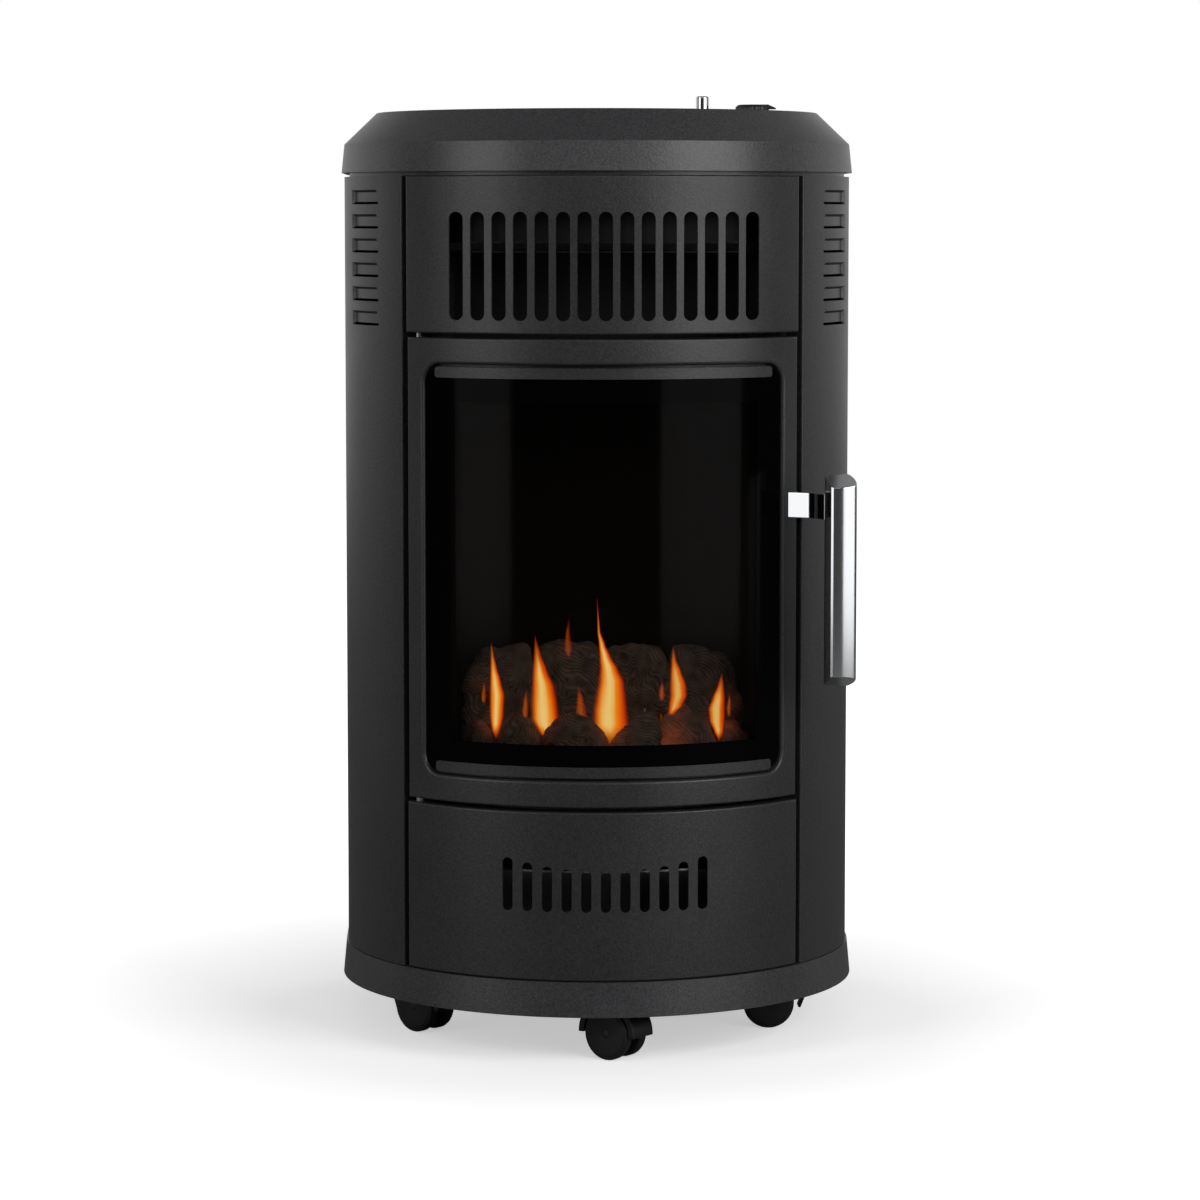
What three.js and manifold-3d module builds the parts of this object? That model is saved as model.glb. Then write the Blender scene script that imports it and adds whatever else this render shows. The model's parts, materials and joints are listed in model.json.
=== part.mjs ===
// Portable gas cabinet heater: a bow-fronted sheet-steel cabinet on five castors, with a glazed
// door over a bed of ceramic coals, a bay for a gas cylinder behind, and controls in the lid.
// Millimetres, +Z up. The front faces -Y and the origin is on the floor under the centre.
import * as THREE from "three";
import { mergeVertices } from "three/addons/utils/BufferGeometryUtils.js";
import Module from "manifold-3d";

const wasm = await Module();
wasm.setup();

// ---------------------------------------------------------------- driving dimensions

// Whole cabinet. Its plan is a half circle in front and a square back.
const WIDTH = 420;
const DEPTH = 390;
const SHEET = 1.5;
const SEAT_GAP = 0.3;
const SHELL_INSET = 2.4;
const REAR_CORNER = 15;
const ARC_STEP = 5;

// Base pan, from the floor up.
const RIM_CLEARANCE = 42;
const RIM_HEIGHT = 24.6;
const SEAT_INSET = 6;
const SEAT_STEP = 1.6;

// Front panels and door, stacked on the base.
const LOWER_PANEL_HEIGHT = 134.1;
const DOOR_GAP = 3.5;
const DOOR_HEIGHT = 367;
const UPPER_PANEL_HEIGHT = 123.5;
const RETURN_DEPTH = 15.6;
const PANEL_HALF_ANGLE = 48.7;
const DOOR_HALF_ANGLE = 48.3;
const COLUMN_ANGLE = 50.1;
const FLANGE = 12;

// Lid.
const LID_GAP = 1.8;
const LID_BAND = 24.4;
const LID_CHAMFER_UP = 25.4;
const LID_CHAMFER_IN = 29;
const LID_FLANGE = 14;

// Upper grille and lower air slots.
const GRILLE_SLOTS = 15;
const GRILLE_PITCH = 16.6;
const GRILLE_SLOT_WIDTH = 11;
const GRILLE_SLOT_LENGTH = 84.7;
const GRILLE_SLOT_ABOVE = 10.4;
const AIR_SLOTS = 11;
const AIR_PITCH = 15.4;
const AIR_SLOT_WIDTH = 8;
const AIR_SLOT_LENGTH = 32.7;
const AIR_SLOT_ABOVE = 54.9;
const AIR_SLOT_GROWTH = 0.38;

// Louvres pressed into the side panels.
const LOUVRES = 6;
const LOUVRE_FROM_ANGLE = 59.6;
const LOUVRE_TO_ANGLE = 76;
const LOUVRE_HEIGHT = 11.5;
const LOUVRE_PITCH = 19.4;
const LOUVRE_DEPTH = 7;
const LOUVRE_BELOW_TOP = 13.5;

// Front posts behind the gaps between the side panels and the front.
const POST_FROM_ANGLE = 43.5;
const POST_TO_ANGLE = 57;
const POST_LEG = 14.7;
const POST_LENGTH = 19.4;

// Door.
const DOOR_DEPTH = 9.9;
const WINDOW_HALF_ANGLE = 43.35;
const WINDOW_MARGIN = 20.4;
const WINDOW_CORNER = 16;
const REBATE_DEPTH = 8.4;
const REBATE_WIDTH = 12;
const GASKET = 1.4;
const GLASS = 4;
const GLASS_SIDE_GAP = 1.3;
const GLASS_CORNER = 12;
const RETAINER_HEIGHT = 8.5;
const RETAINER_HALF_ANGLE = 40;
const RETAINER_MARGIN = 2.3;
const HINGE_RADIUS_IN = 6.6;
const HINGE_ANGLE = -46.4;
const PIN_RADIUS = 2;
const PIN_HEAD_RADIUS = 3.6;
const PIN_HEAD = 1.7;
const HINGE_PLATE = 2;
const HINGE_TAB = 20;
const HINGE_PLATE_FROM_ANGLE = -47.9;
const HINGE_PLATE_TO_ANGLE = -44.2;
const CATCH_HEIGHT = 28;
const CATCH_FROM_ANGLE = 44.4;
const CATCH_TO_ANGLE = 46.9;
const STRIKE_HEIGHT = 40;
const CATCH_ABOVE_DOOR = 186;

// Handle on the door's free stile. The bar's section is drawn as [along its back, forward].
const BRACKET_SHEET = 2.5;
const BRACKET_HEIGHT = 19.8;
const BRACKET_ABOVE_DOOR = 221;
const BRACKET_ANGLE = 44.9;
const BRACKET_PAD = 9.5;
const BRACKET_FLANGE = 12;
const BAR_ASIDE = 26.85;
const BAR_FORWARD = 26.24;
const BAR_TURN = 12.3;
const BAR_SECTION = [
  [0, 0],
  [-0.4, 19.4],
  [6.6, 20.3],
  [13.6, 20.5],
  [20.4, 19.6],
  [21.8, 13],
  [21.4, 6.5],
  [18.7, 0],
];
const BAR_LENGTH = 164.4;
const BAR_ABOVE_DOOR = 90.6;
const BAR_SLANT = 0.44;

// Firebox, bulkhead, baffle and lower shelf.
const FIREBOX_SHEET = 1.2;
const FIREBOX_BOTTOM = 210;
const FIREBOX_TOP = 641;
const FIREBOX_KNEE = 20;
const FIREBOX_SIDE_SPACE = 96;
const FIREBOX_BACK_SPACE = 7;
const BULKHEAD_BEHIND_POST = 12.4;
const BULKHEAD_WING = 11.5;
const BAFFLE_SET_BACK = 22;
const BAFFLE_DROP = 53;
const BAFFLE_LIP = 6;
const SHELF_HEIGHT = 153;
const SHELF_SET_BACK = 21;
const SHELF_LIP = 10;

// Burner and coals.
const TRAY_HEIGHT = 32;
const TRAY_CLEARANCE = 4;
const TRAY_FRONT_BACK = 8;
const TRAY_PORTS = 10;
const TRAY_PORT_MARGIN = 2.5;
const TRAY_PORT_WIDTH = 4;
const TRAY_PORT_LENGTH = 12;
const TROUGH_FROM_BACK = 48;
const BURNER_RADIUS = 10.5;
const BURNER_END_SPACE = 16;
const BURNER_PORTS = 9;
const BURNER_PORT_MARGIN = 16;
const BURNER_PORT_WIDTH = 2.4;
const BURNER_PORT_LENGTH = 11;
const BURNER_FOOT = 14;
const BURNER_FOOT_WIDTH = 3;
const BURNER_FOOT_MARGIN = 20;
const BURNER_BELOW_DECK = 3;
const PILOT_X = 45;
const PILOT_FROM_BACK = 31;
const PILOT_RADIUS = 4;
const PILOT_HEIGHT = 26;
const PROBE_RADIUS = 1.6;
const PROBE_OFFSET = 11;
const PROBE_HEIGHT = 30;
const PILOT_PLATE = 40;
const PILOT_PLATE_DEPTH = 13;
const BACK_COAL_DEPTH = 23;
const BACK_COAL_WIDTH = 62;
const BACK_COAL_SIDE_GAP = 0.8;
const BACK_COAL_HEIGHTS = [80.6, 84.2, 83, 79.3];
const FRONT_COAL_SET_BACK = 19.7;
const FRONT_COAL_DEPTH = 24;
// Each front coal: the angle of its centre, the angle that it spans, its height.
const FRONT_COALS = [
  [-35.5, 7.7, 18],
  [-22.9, 11, 30],
  [-8.2, 12.7, 31],
  [7.7, 10.7, 30],
  [22, 16.7, 38],
  [36.4, 7.7, 20],
];

// Gas train and controls.
const CONTROL_SET_BACK = 235;
const KNOB_FROM_SIDE = 80;
const KNOB_TO_BUTTON = 41.3;
const KNOB_RADIUS = 14;
const KNOB_HEIGHT = 5;
const KNOB_LIFT = 3.3;
const KNOB_NOSE = 5.5;
const SPINDLE_RADIUS = 3;
const LID_HOLE_CLEARANCE = 0.8;
const BEZEL_OUTER = 19;
const BEZEL_INNER = 15;
const BEZEL_HEIGHT = 0.8;
const BUTTON_RADIUS = 5.5;
const BUTTON_RISE = 15.2;
const BUTTON_LENGTH = 43;
const IGNITER_RADIUS = 9;
const IGNITER_LENGTH = 60;
const IGNITER_COLLAR = 12;
const CONTROL_DROP = 33;
const BRACKET_SIDE = 18;
const BRACKET_FOOT = 12;
const BRACKET_DEPTH = 40;
const VALVE_WIDTH = 32;
const VALVE_DEPTH = 42;
const VALVE_HEIGHT = 32;
const VALVE_NECK_RADIUS = 8;
const VALVE_NECK_HEIGHT = 13;
const PUSH_ROD_RADIUS = 5;
const PUSH_ROD_LENGTH = 12;
const HOSE_TAIL_RADIUS = 4.5;
const HOSE_TAIL_LENGTH = 32;
const FEED_PIPE_RADIUS = 4;
const PILOT_PIPE_RADIUS = 2.2;
const PIPE_HOLE_CLEARANCE = 3.5;
const PIPE_RUN_FROM_SIDE = 61;
const PIPE_RUN_BEHIND = 19;
const PIPE_RUN_HEIGHT = 178;
const PIPE_SPACING = 18;
const PIPE_BEND = 20;
const FEED_RISE_FROM_SIDE = 10;
const FEED_RISE_FROM_BACK = 28;

// Rear cover.
const REAR_FLANGE = 20;
const COVER_OVERLAP = 12;
const COVER_MARGIN = 5;
const COVER_LIP = 12;
const COVER_VENTS = 7;
const COVER_VENT_PITCH = 16;
const COVER_VENT_LENGTH = 90;
const COVER_VENT_WIDTH = 6;
const COVER_VENT_FROM_BOTTOM = 50;
const COVER_VENT_FROM_MIDDLE = 16;
const COVER_GRIP_LENGTH = 96;
const COVER_GRIP_WIDTH = 26;
const COVER_GRIP_FROM_TOP = 60;

// Twin-wheel castors: stem place, and the way the wheels trail at rest, in degrees from +X.
const WHEEL_RADIUS = 21;
const WHEEL_WIDTH = 9.5;
const WHEEL_INNER = 5;
const AXLE_RADIUS = 3;
const AXLE_CLEARANCE = 0.35;
const TRAIL = 12;
const HOOD_WEB = 4;
const HOOD_INNER = 22.3;
const HOOD_OUTER = 27.5;
const HOOD_HALF_WIDTH = 13;
const STEM_RADIUS = 4;
const STEM_TOP_GAP = 1;
const SOCKET_RADIUS = 7;
const SOCKET_DROP = 15;
const SOCKET_CLEARANCE = 0.35;
const BOSS_RADIUS = 9;
const BRAKE_HALF_WIDTH = 7;
const BRAKE_REACH = 28.2;
const BRAKE_TOP = 33;
const BRAKE_SHEET = 2;
const BRAKE_KNEE = 25;
const BRAKE_TOE = 15.5;
const BRAKE_TOE_IN = 3.4;
const CASTOR_FROM_FRONT = 48;
const CASTOR_FROM_SIDE = 58;
const CASTOR_AHEAD = 47;
const CASTOR_FROM_REAR = 47;
const REAR_CASTOR_FROM_SIDE = 60;

// ---------------------------------------------------------------- places worked out from them

const RIM_R = WIDTH / 2;
const ARC_Y = RIM_R - DEPTH / 2;
const REAR_Y = DEPTH / 2;
const FRONT_Y = -REAR_Y;
const SHELL_R = RIM_R - SHELL_INSET;
const RETURN_R = SHELL_R - RETURN_DEPTH;
const POST_R = RETURN_R - SEAT_GAP;
const FIREBOX_R = RETURN_R - SEAT_GAP;

const CONTROL_Y = FRONT_Y + CONTROL_SET_BACK;
const KNOB_X = RIM_R - KNOB_FROM_SIDE;
const BUTTON_X = KNOB_X - KNOB_TO_BUTTON;

const castorX = RIM_R - CASTOR_FROM_SIDE;
const castorY = ARC_Y - CASTOR_AHEAD;
const rearCastorX = RIM_R - REAR_CASTOR_FROM_SIDE;
const rearCastorY = REAR_Y - CASTOR_FROM_REAR;
const CASTORS = [
  { name: "front", x: 0, y: FRONT_Y + CASTOR_FROM_FRONT, heading: -39.7, brake: false },
  { name: "left", x: -castorX, y: castorY, heading: -45, brake: true },
  { name: "right", x: castorX, y: castorY, heading: 180, brake: true },
  { name: "rear_left", x: -rearCastorX, y: rearCastorY, heading: 105, brake: false },
  { name: "rear_right", x: rearCastorX, y: rearCastorY, heading: 60, brake: false },
];

const RIM_TOP = RIM_CLEARANCE + RIM_HEIGHT;
const SEAT_Z = RIM_TOP + SEAT_STEP;
const LOWER_BOTTOM = SEAT_Z + SEAT_GAP;
const LOWER_TOP = LOWER_BOTTOM + LOWER_PANEL_HEIGHT;
const DOOR_BOTTOM = LOWER_TOP + DOOR_GAP;
const DOOR_TOP = DOOR_BOTTOM + DOOR_HEIGHT;
const UPPER_BOTTOM = DOOR_TOP + DOOR_GAP;
const UPPER_TOP = UPPER_BOTTOM + UPPER_PANEL_HEIGHT;
const LID_SEAT = UPPER_TOP + SEAT_GAP;
const LID_BOTTOM = LID_SEAT + LID_GAP;
const LID_SHOULDER = LID_BOTTOM + LID_BAND;
const LID_TOP = LID_SHOULDER + LID_CHAMFER_UP;
const LID_INSIDE = LID_TOP - SHEET;

// ---------------------------------------------------------------- geometry helpers

const X_AXIS = new THREE.Vector3(1, 0, 0);
const Y_AXIS = new THREE.Vector3(0, 1, 0);
const Z_AXIS = new THREE.Vector3(0, 0, 1);
const rad = THREE.MathUtils.degToRad;

// A closed geometry as a solid, turned right side out if its faces point in.
function solid(geometry) {
  const bare = geometry.index ? geometry.toNonIndexed() : geometry.clone();
  const open = new THREE.BufferGeometry();
  open.setAttribute("position", bare.getAttribute("position"));
  const merged = mergeVertices(open, 1e-4);
  const mesh = (triVerts) =>
    new wasm.Manifold(
      new wasm.Mesh({ numProp: 3, vertProperties: merged.attributes.position.array, triVerts }),
    );
  const faces = new Uint32Array(merged.index.array);
  const made = mesh(faces);
  return made.volume() > 0 ? made : mesh(faces.slice().reverse());
}

function geometryOf(body) {
  const mesh = body.getMesh();
  const points = new Float32Array(mesh.numVert * 3);
  for (let i = 0; i < mesh.numVert; i++) {
    const start = i * mesh.numProp;
    points.set(mesh.vertProperties.subarray(start, start + 3), i * 3);
  }
  const geometry = new THREE.BufferGeometry();
  geometry.setAttribute("position", new THREE.BufferAttribute(points, 3));
  geometry.setIndex(new THREE.BufferAttribute(mesh.triVerts, 1));
  return geometry;
}

const join = (...bodies) => bodies.flat().reduce((all, body) => all.add(body));
const cut = (body, ...tools) => tools.flat().reduce((left, tool) => left.subtract(tool), body);

// The same solid on the other side of the cabinet.
const mirrored = (body) => solid(geometryOf(body).scale(-1, 1, 1));

// Angles are measured from straight ahead, positive to the right, about the centre of the front.
function planPoint(radius, degrees) {
  const angle = rad(degrees);
  return new THREE.Vector2(radius * Math.sin(angle), ARC_Y - radius * Math.cos(angle));
}

// The width of a stretch of arc as an angle in degrees.
const arcAngle = (length, radius) => THREE.MathUtils.radToDeg(length / radius);

// Stations from one angle to another, on a grid that all the curved pieces share.
function stations(from, to, step = ARC_STEP) {
  const list = [from];
  for (let n = Math.floor(from / step) + 1; n * step < to; n++) {
    if (n * step - from > 0.05 && to - n * step > 0.05) list.push(n * step);
  }
  list.push(to);
  return list;
}

const planArc = (radius, from, to) => stations(from, to).map((angle) => planPoint(radius, angle));

// An outline pushed along one direction: PLAN upwards, FRONT towards -Y, SIDE towards +X.
const PLAN = [X_AXIS, Y_AXIS];
const FRONT = [X_AXIS, Z_AXIS];
const SIDE = [Y_AXIS, Z_AXIS];
function prism(outline, from, to, plane = PLAN) {
  const shape = new THREE.Shape(outline);
  const geometry = new THREE.ExtrudeGeometry(shape, { depth: to - from, bevelEnabled: false });
  const normal = new THREE.Vector3().crossVectors(...plane);
  geometry.translate(0, 0, from);
  geometry.applyMatrix4(new THREE.Matrix4().makeBasis(...plane, normal));
  return solid(geometry);
}

function box(x0, x1, y0, y1, z0, z1) {
  const geometry = new THREE.BoxGeometry(x1 - x0, y1 - y0, z1 - z0);
  return solid(geometry.translate((x0 + x1) / 2, (y0 + y1) / 2, (z0 + z1) / 2));
}

// A round bar between two points.
function rod(from, to, radius, sides = 20) {
  const start = new THREE.Vector3(...from);
  const along = new THREE.Vector3(...to).sub(start);
  const geometry = new THREE.CylinderGeometry(radius, radius, along.length(), sides);
  geometry.translate(0, along.length() / 2, 0);
  const turn = new THREE.Quaternion().setFromUnitVectors(Y_AXIS, along.clone().normalize());
  geometry.applyQuaternion(turn).translate(start.x, start.y, start.z);
  return solid(geometry);
}

const upright = (x, y, bottom, top, radius, sides) => rod([x, y, bottom], [x, y, top], radius, sides);

// A turned piece about a vertical axis. Its profile of [radius, height] ends on the axis.
function turned(x, y, profile, sides = 24) {
  const points = profile.map(([radius, height]) => new THREE.Vector2(radius, height));
  const geometry = new THREE.LatheGeometry(points, sides);
  return solid(geometry.rotateX(Math.PI / 2).translate(x, y, 0));
}

// Skins equal loops of points together and closes the two ends.
function lofted(rings) {
  const triangles = [];
  const count = rings[0].length;
  for (let i = 0; i + 1 < rings.length; i++) {
    for (let j = 0; j < count; j++) {
      const k = (j + 1) % count;
      triangles.push(rings[i][j], rings[i][k], rings[i + 1][k]);
      triangles.push(rings[i][j], rings[i + 1][k], rings[i + 1][j]);
    }
  }
  const cap = (ring, reversed) => {
    const normal = new THREE.Vector3();
    ring.forEach((point, j) => {
      normal.add(new THREE.Vector3().crossVectors(point, ring[(j + 1) % count]));
    });
    const turn = new THREE.Quaternion().setFromUnitVectors(normal.normalize(), Z_AXIS);
    const flat = ring.map((point) => {
      const laid = point.clone().applyQuaternion(turn);
      return new THREE.Vector2(laid.x, laid.y);
    });
    for (const [a, b, c] of THREE.ShapeUtils.triangulateShape(flat, [])) {
      const area = flat[b].clone().sub(flat[a]).cross(flat[c].clone().sub(flat[a]));
      const forward = area > 0 !== reversed;
      triangles.push(ring[a], forward ? ring[b] : ring[c], forward ? ring[c] : ring[b]);
    }
  };
  cap(rings[0], true);
  cap(rings[rings.length - 1], false);
  return solid(new THREE.BufferGeometry().setFromPoints(triangles));
}

// A profile of [radius, height] swept round the front's centre from one angle to another.
function swept(profile, from, to) {
  return lofted(
    stations(from, to).map((angle) =>
      profile.map(([radius, height]) => {
        const { x, y } = planPoint(radius, angle);
        return new THREE.Vector3(x, y, height);
      }),
    ),
  );
}

// A curved plate between two radii and two angles, with its corners rounded if asked.
function curvedPlate({ inner, outer, from, to, bottom, top, corner = 0 }) {
  const turn = arcAngle(corner, outer);
  const rounds = corner ? [0.04, 0.17, 0.42, 0.72].map((share) => share * turn) : [];
  const angles = [
    from,
    ...rounds.map((angle) => from + angle),
    ...stations(from + turn, to - turn),
    ...rounds.map((angle) => to - angle).reverse(),
    to,
  ].filter((angle, i, all) => i === 0 || angle - all[i - 1] > 1e-6);
  return lofted(
    angles.map((angle) => {
      const run = THREE.MathUtils.clamp(Math.min(angle - from, to - angle) / (turn || 1), 0, 1);
      const lift = corner ? corner * (1 - Math.sqrt(1 - (1 - run) ** 2)) : 0;
      const a = planPoint(inner, angle);
      const b = planPoint(outer, angle);
      return [
        new THREE.Vector3(a.x, a.y, bottom + lift),
        new THREE.Vector3(b.x, b.y, bottom + lift),
        new THREE.Vector3(b.x, b.y, top - lift),
        new THREE.Vector3(a.x, a.y, top - lift),
      ];
    }),
  );
}

// A folded strip of sheet: the path is one face, and the thickness lies to its left.
function folded(path, thickness) {
  const normals = path.slice(1).map((point, i) => {
    const along = point.clone().sub(path[i]).normalize();
    return new THREE.Vector2(-along.y, along.x);
  });
  const offset = path.map((point, i) => {
    const before = normals[Math.max(i - 1, 0)];
    const after = normals[Math.min(i, normals.length - 1)];
    const middle = before.clone().add(after);
    return point.clone().addScaledVector(middle, (2 * thickness) / middle.lengthSq());
  });
  return [...path, ...offset.reverse()];
}

// The cabinet's outline, drawn in by an inset.
function cabinetPlan(inset) {
  const radius = RIM_R - inset;
  const round = Math.max(REAR_CORNER - inset, 3);
  const outline = planArc(radius, -90, 90);
  for (const [side, start] of [[1, 0], [-1, 90]]) {
    for (let turn = 0; turn <= 90; turn += 22.5) {
      const angle = rad(start + turn);
      const x = side * (radius - round) + round * Math.cos(angle);
      outline.push(new THREE.Vector2(x, REAR_Y - inset - round + round * Math.sin(angle)));
    }
  }
  return outline;
}

const planRing = (inset, height) =>
  cabinetPlan(inset).map(({ x, y }) => new THREE.Vector3(x, y, height));

// An upright slot with round ends, in the plane of across and up.
function slot(across, bottom, top, width, sides = 4) {
  const radius = width / 2;
  const outline = [];
  for (const [end, start] of [[top - radius, 0], [bottom + radius, 180]]) {
    for (let i = 0; i <= sides; i++) {
      const angle = rad(start + (180 * i) / sides);
      const x = across + radius * Math.cos(angle);
      outline.push(new THREE.Vector2(x, end + radius * Math.sin(angle)));
    }
  }
  return outline;
}

// A slot that lies along.
const lyingSlot = (across, up, length, width) =>
  slot(up, -across - length / 2, -across + length / 2, width).map(({ x, y }) => new THREE.Vector2(-y, x));

// A pressed front panel: a curved skin with its four edges turned in.
function curvedTray(halfAngle, bottom, top, depth) {
  const skin = { outer: SHELL_R, from: -halfAngle, to: halfAngle, bottom, top };
  const side = arcAngle(SHEET, SHELL_R);
  const hollow = {
    inner: SHELL_R - depth - 5,
    outer: SHELL_R - SHEET,
    from: -halfAngle + side,
    to: halfAngle - side,
    bottom: bottom + SHEET,
    top: top - SHEET,
  };
  return cut(curvedPlate({ ...skin, inner: SHELL_R - depth }), curvedPlate(hollow));
}

const hinge = planPoint(SHELL_R - HINGE_RADIUS_IN, HINGE_ANGLE);
const hingeHole = (bottom, top, clearance) =>
  upright(hinge.x, hinge.y, bottom - 1, top + 1, PIN_RADIUS + clearance, 16);

// ---------------------------------------------------------------- cabinet

function basePan() {
  const socketBottom = RIM_TOP - SHEET - SOCKET_DROP;
  const rim = cut(
    prism(cabinetPlan(0), RIM_CLEARANCE, RIM_TOP),
    prism(cabinetPlan(SHEET), RIM_CLEARANCE - 1, RIM_TOP - SHEET),
  );
  const plateau = prism(cabinetPlan(SEAT_INSET), RIM_TOP - SHEET, SEAT_Z);
  const pressed = cut(
    join(rim, plateau),
    prism(cabinetPlan(SEAT_INSET + SHEET), RIM_CLEARANCE - 1, SEAT_Z - SHEET),
  );
  const sockets = CASTORS.map(({ x, y }) =>
    upright(x, y, socketBottom, SEAT_Z - SHEET / 2, SOCKET_RADIUS, 20),
  );
  const bores = CASTORS.map(({ x, y }) =>
    upright(x, y, socketBottom - 1, SEAT_Z - SHEET, STEM_RADIUS + SOCKET_CLEARANCE, 16),
  );
  return cut(join(pressed, sockets), bores);
}

// The outer face of the right-hand side panel, from its front fold round to its rear flange.
function sidePanelPath(inset) {
  const round = REAR_CORNER - SHELL_INSET - inset;
  const face = SHELL_R - inset;
  const back = REAR_Y - SHELL_INSET - inset;
  const path = [planPoint(RETURN_R, COLUMN_ANGLE), ...planArc(face, COLUMN_ANGLE, 90)];
  for (let turn = 0; turn <= 90; turn += 22.5) {
    const angle = rad(turn);
    const x = face - round + round * Math.cos(angle);
    path.push(new THREE.Vector2(x, back - round + round * Math.sin(angle)));
  }
  path.push(new THREE.Vector2(face - REAR_FLANGE, back));
  return path;
}

function sidePanel() {
  const path = sidePanelPath(0);
  const wall = prism(folded(path, SHEET), LOWER_BOTTOM, UPPER_TOP);
  const flange = folded(path.slice(1, -1), FLANGE);
  const louvreTops = Array.from({ length: LOUVRES }, (_, i) =>
    UPPER_TOP - LOUVRE_BELOW_TOP - i * LOUVRE_PITCH,
  );
  const openings = louvreTops.map((top) =>
    curvedPlate({
      inner: SHELL_R - 2 * SHEET,
      outer: SHELL_R + SHEET,
      from: LOUVRE_FROM_ANGLE,
      to: LOUVRE_TO_ANGLE,
      bottom: top - LOUVRE_HEIGHT,
      top,
    }),
  );
  return join(
    cut(
      join(
        wall,
        prism(flange, LOWER_BOTTOM, LOWER_BOTTOM + SHEET),
        prism(flange, UPPER_TOP - SHEET, UPPER_TOP),
      ),
      openings,
    ),
    louvreTops.map(louvre),
  );
}

// One louvre: a tongue that slopes inwards to an open slot along its bottom, closed at its ends.
function louvre(top) {
  const bottom = top - LOUVRE_HEIGHT;
  const root = 0.1;
  const face = SHELL_R - root;
  const behind = SHELL_R - SHEET + root;
  const end = arcAngle(SHEET, SHELL_R);
  const tongue = swept(
    [
      [face, top + root],
      [face - LOUVRE_DEPTH, bottom],
      [behind - LOUVRE_DEPTH, bottom],
      [behind, top + root],
    ],
    LOUVRE_FROM_ANGLE - end / 2,
    LOUVRE_TO_ANGLE + end / 2,
  );
  const cheek = [
    [face, top + root],
    [face, bottom - root],
    [behind, bottom - root],
    [behind - LOUVRE_DEPTH, bottom],
    [behind, top + root],
  ];
  return join(
    tongue,
    swept(cheek, LOUVRE_FROM_ANGLE - end / 2, LOUVRE_FROM_ANGLE + end / 2),
    swept(cheek, LOUVRE_TO_ANGLE - end / 2, LOUVRE_TO_ANGLE + end / 2),
  );
}

const postCorner = planPoint(POST_R, POST_TO_ANGLE);

function frontPost() {
  const path = [
    planPoint(POST_R - POST_LEG, POST_FROM_ANGLE),
    ...planArc(POST_R, POST_FROM_ANGLE, POST_TO_ANGLE),
    new THREE.Vector2(postCorner.x, postCorner.y + POST_LENGTH),
  ];
  return prism(folded(path, SHEET), LOWER_BOTTOM, UPPER_TOP);
}

function topLid() {
  const slope = Math.hypot(LID_CHAMFER_IN, LID_CHAMFER_UP);
  const slant = LID_CHAMFER_IN / LID_CHAMFER_UP;
  // The inner face of the chamfer lies one sheet behind the outer one.
  const innerShift = (SHEET * slope) / LID_CHAMFER_UP;
  const innerInset = (height) => (height - LID_SHOULDER) * slant + innerShift;
  const kneeZ = LID_SHOULDER + (SHEET - innerShift) / slant;
  const skin = lofted([
    planRing(0, LID_BOTTOM),
    planRing(0, LID_SHOULDER),
    planRing(LID_CHAMFER_IN, LID_TOP),
  ]);
  const hollow = lofted([
    planRing(SHEET, LID_BOTTOM + SHEET),
    planRing(SHEET, kneeZ),
    planRing(innerInset(LID_INSIDE), LID_INSIDE),
  ]);
  const lip = cut(
    prism(cabinetPlan(SEAT_INSET), LID_SEAT, LID_BOTTOM + SHEET),
    prism(cabinetPlan(SEAT_INSET + SHEET), LID_SEAT + SHEET, LID_BOTTOM + SHEET + 1),
    prism(cabinetPlan(SEAT_INSET + LID_FLANGE), LID_SEAT - 1, LID_SEAT + SHEET + 1),
  );
  const shell = cut(
    skin,
    hollow,
    prism(cabinetPlan(SEAT_INSET + SHEET), LID_BOTTOM - 1, LID_BOTTOM + SHEET + 1),
  );
  const hole = (x, radius) => upright(x, CONTROL_Y, LID_INSIDE - 1, LID_TOP + 1, radius, 20);
  return cut(
    join(shell, lip),
    hole(KNOB_X, SPINDLE_RADIUS + LID_HOLE_CLEARANCE),
    hole(BUTTON_X, BUTTON_RADIUS + LID_HOLE_CLEARANCE),
  );
}

const frontCut = (outline) => prism(outline, -ARC_Y + SHELL_R / 3, SHELL_R + 5, FRONT);

function upperGrillePanel() {
  const bottom = UPPER_BOTTOM + GRILLE_SLOT_ABOVE;
  const slots = Array.from({ length: GRILLE_SLOTS }, (_, i) => {
    const across = (i - (GRILLE_SLOTS - 1) / 2) * GRILLE_PITCH;
    return frontCut(slot(across, bottom, bottom + GRILLE_SLOT_LENGTH, GRILLE_SLOT_WIDTH));
  });
  const tray = curvedTray(PANEL_HALF_ANGLE, UPPER_BOTTOM, UPPER_TOP, RETURN_DEPTH);
  return cut(tray, slots, hingeHole(UPPER_BOTTOM, UPPER_BOTTOM + SHEET, 2 * SEAT_GAP));
}

function lowerFrontPanel() {
  const bottom = LOWER_BOTTOM + AIR_SLOT_ABOVE;
  const slots = Array.from({ length: AIR_SLOTS }, (_, i) => {
    const step = i - (AIR_SLOTS - 1) / 2;
    const top = bottom + AIR_SLOT_LENGTH + AIR_SLOT_GROWTH * step ** 2;
    return frontCut(slot(step * AIR_PITCH, bottom, top, AIR_SLOT_WIDTH));
  });
  const tray = curvedTray(PANEL_HALF_ANGLE, LOWER_BOTTOM, LOWER_TOP, RETURN_DEPTH);
  return cut(tray, slots, hingeHole(LOWER_TOP - SHEET, LOWER_TOP, 2 * SEAT_GAP));
}

// ---------------------------------------------------------------- firebox and air guides

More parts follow.
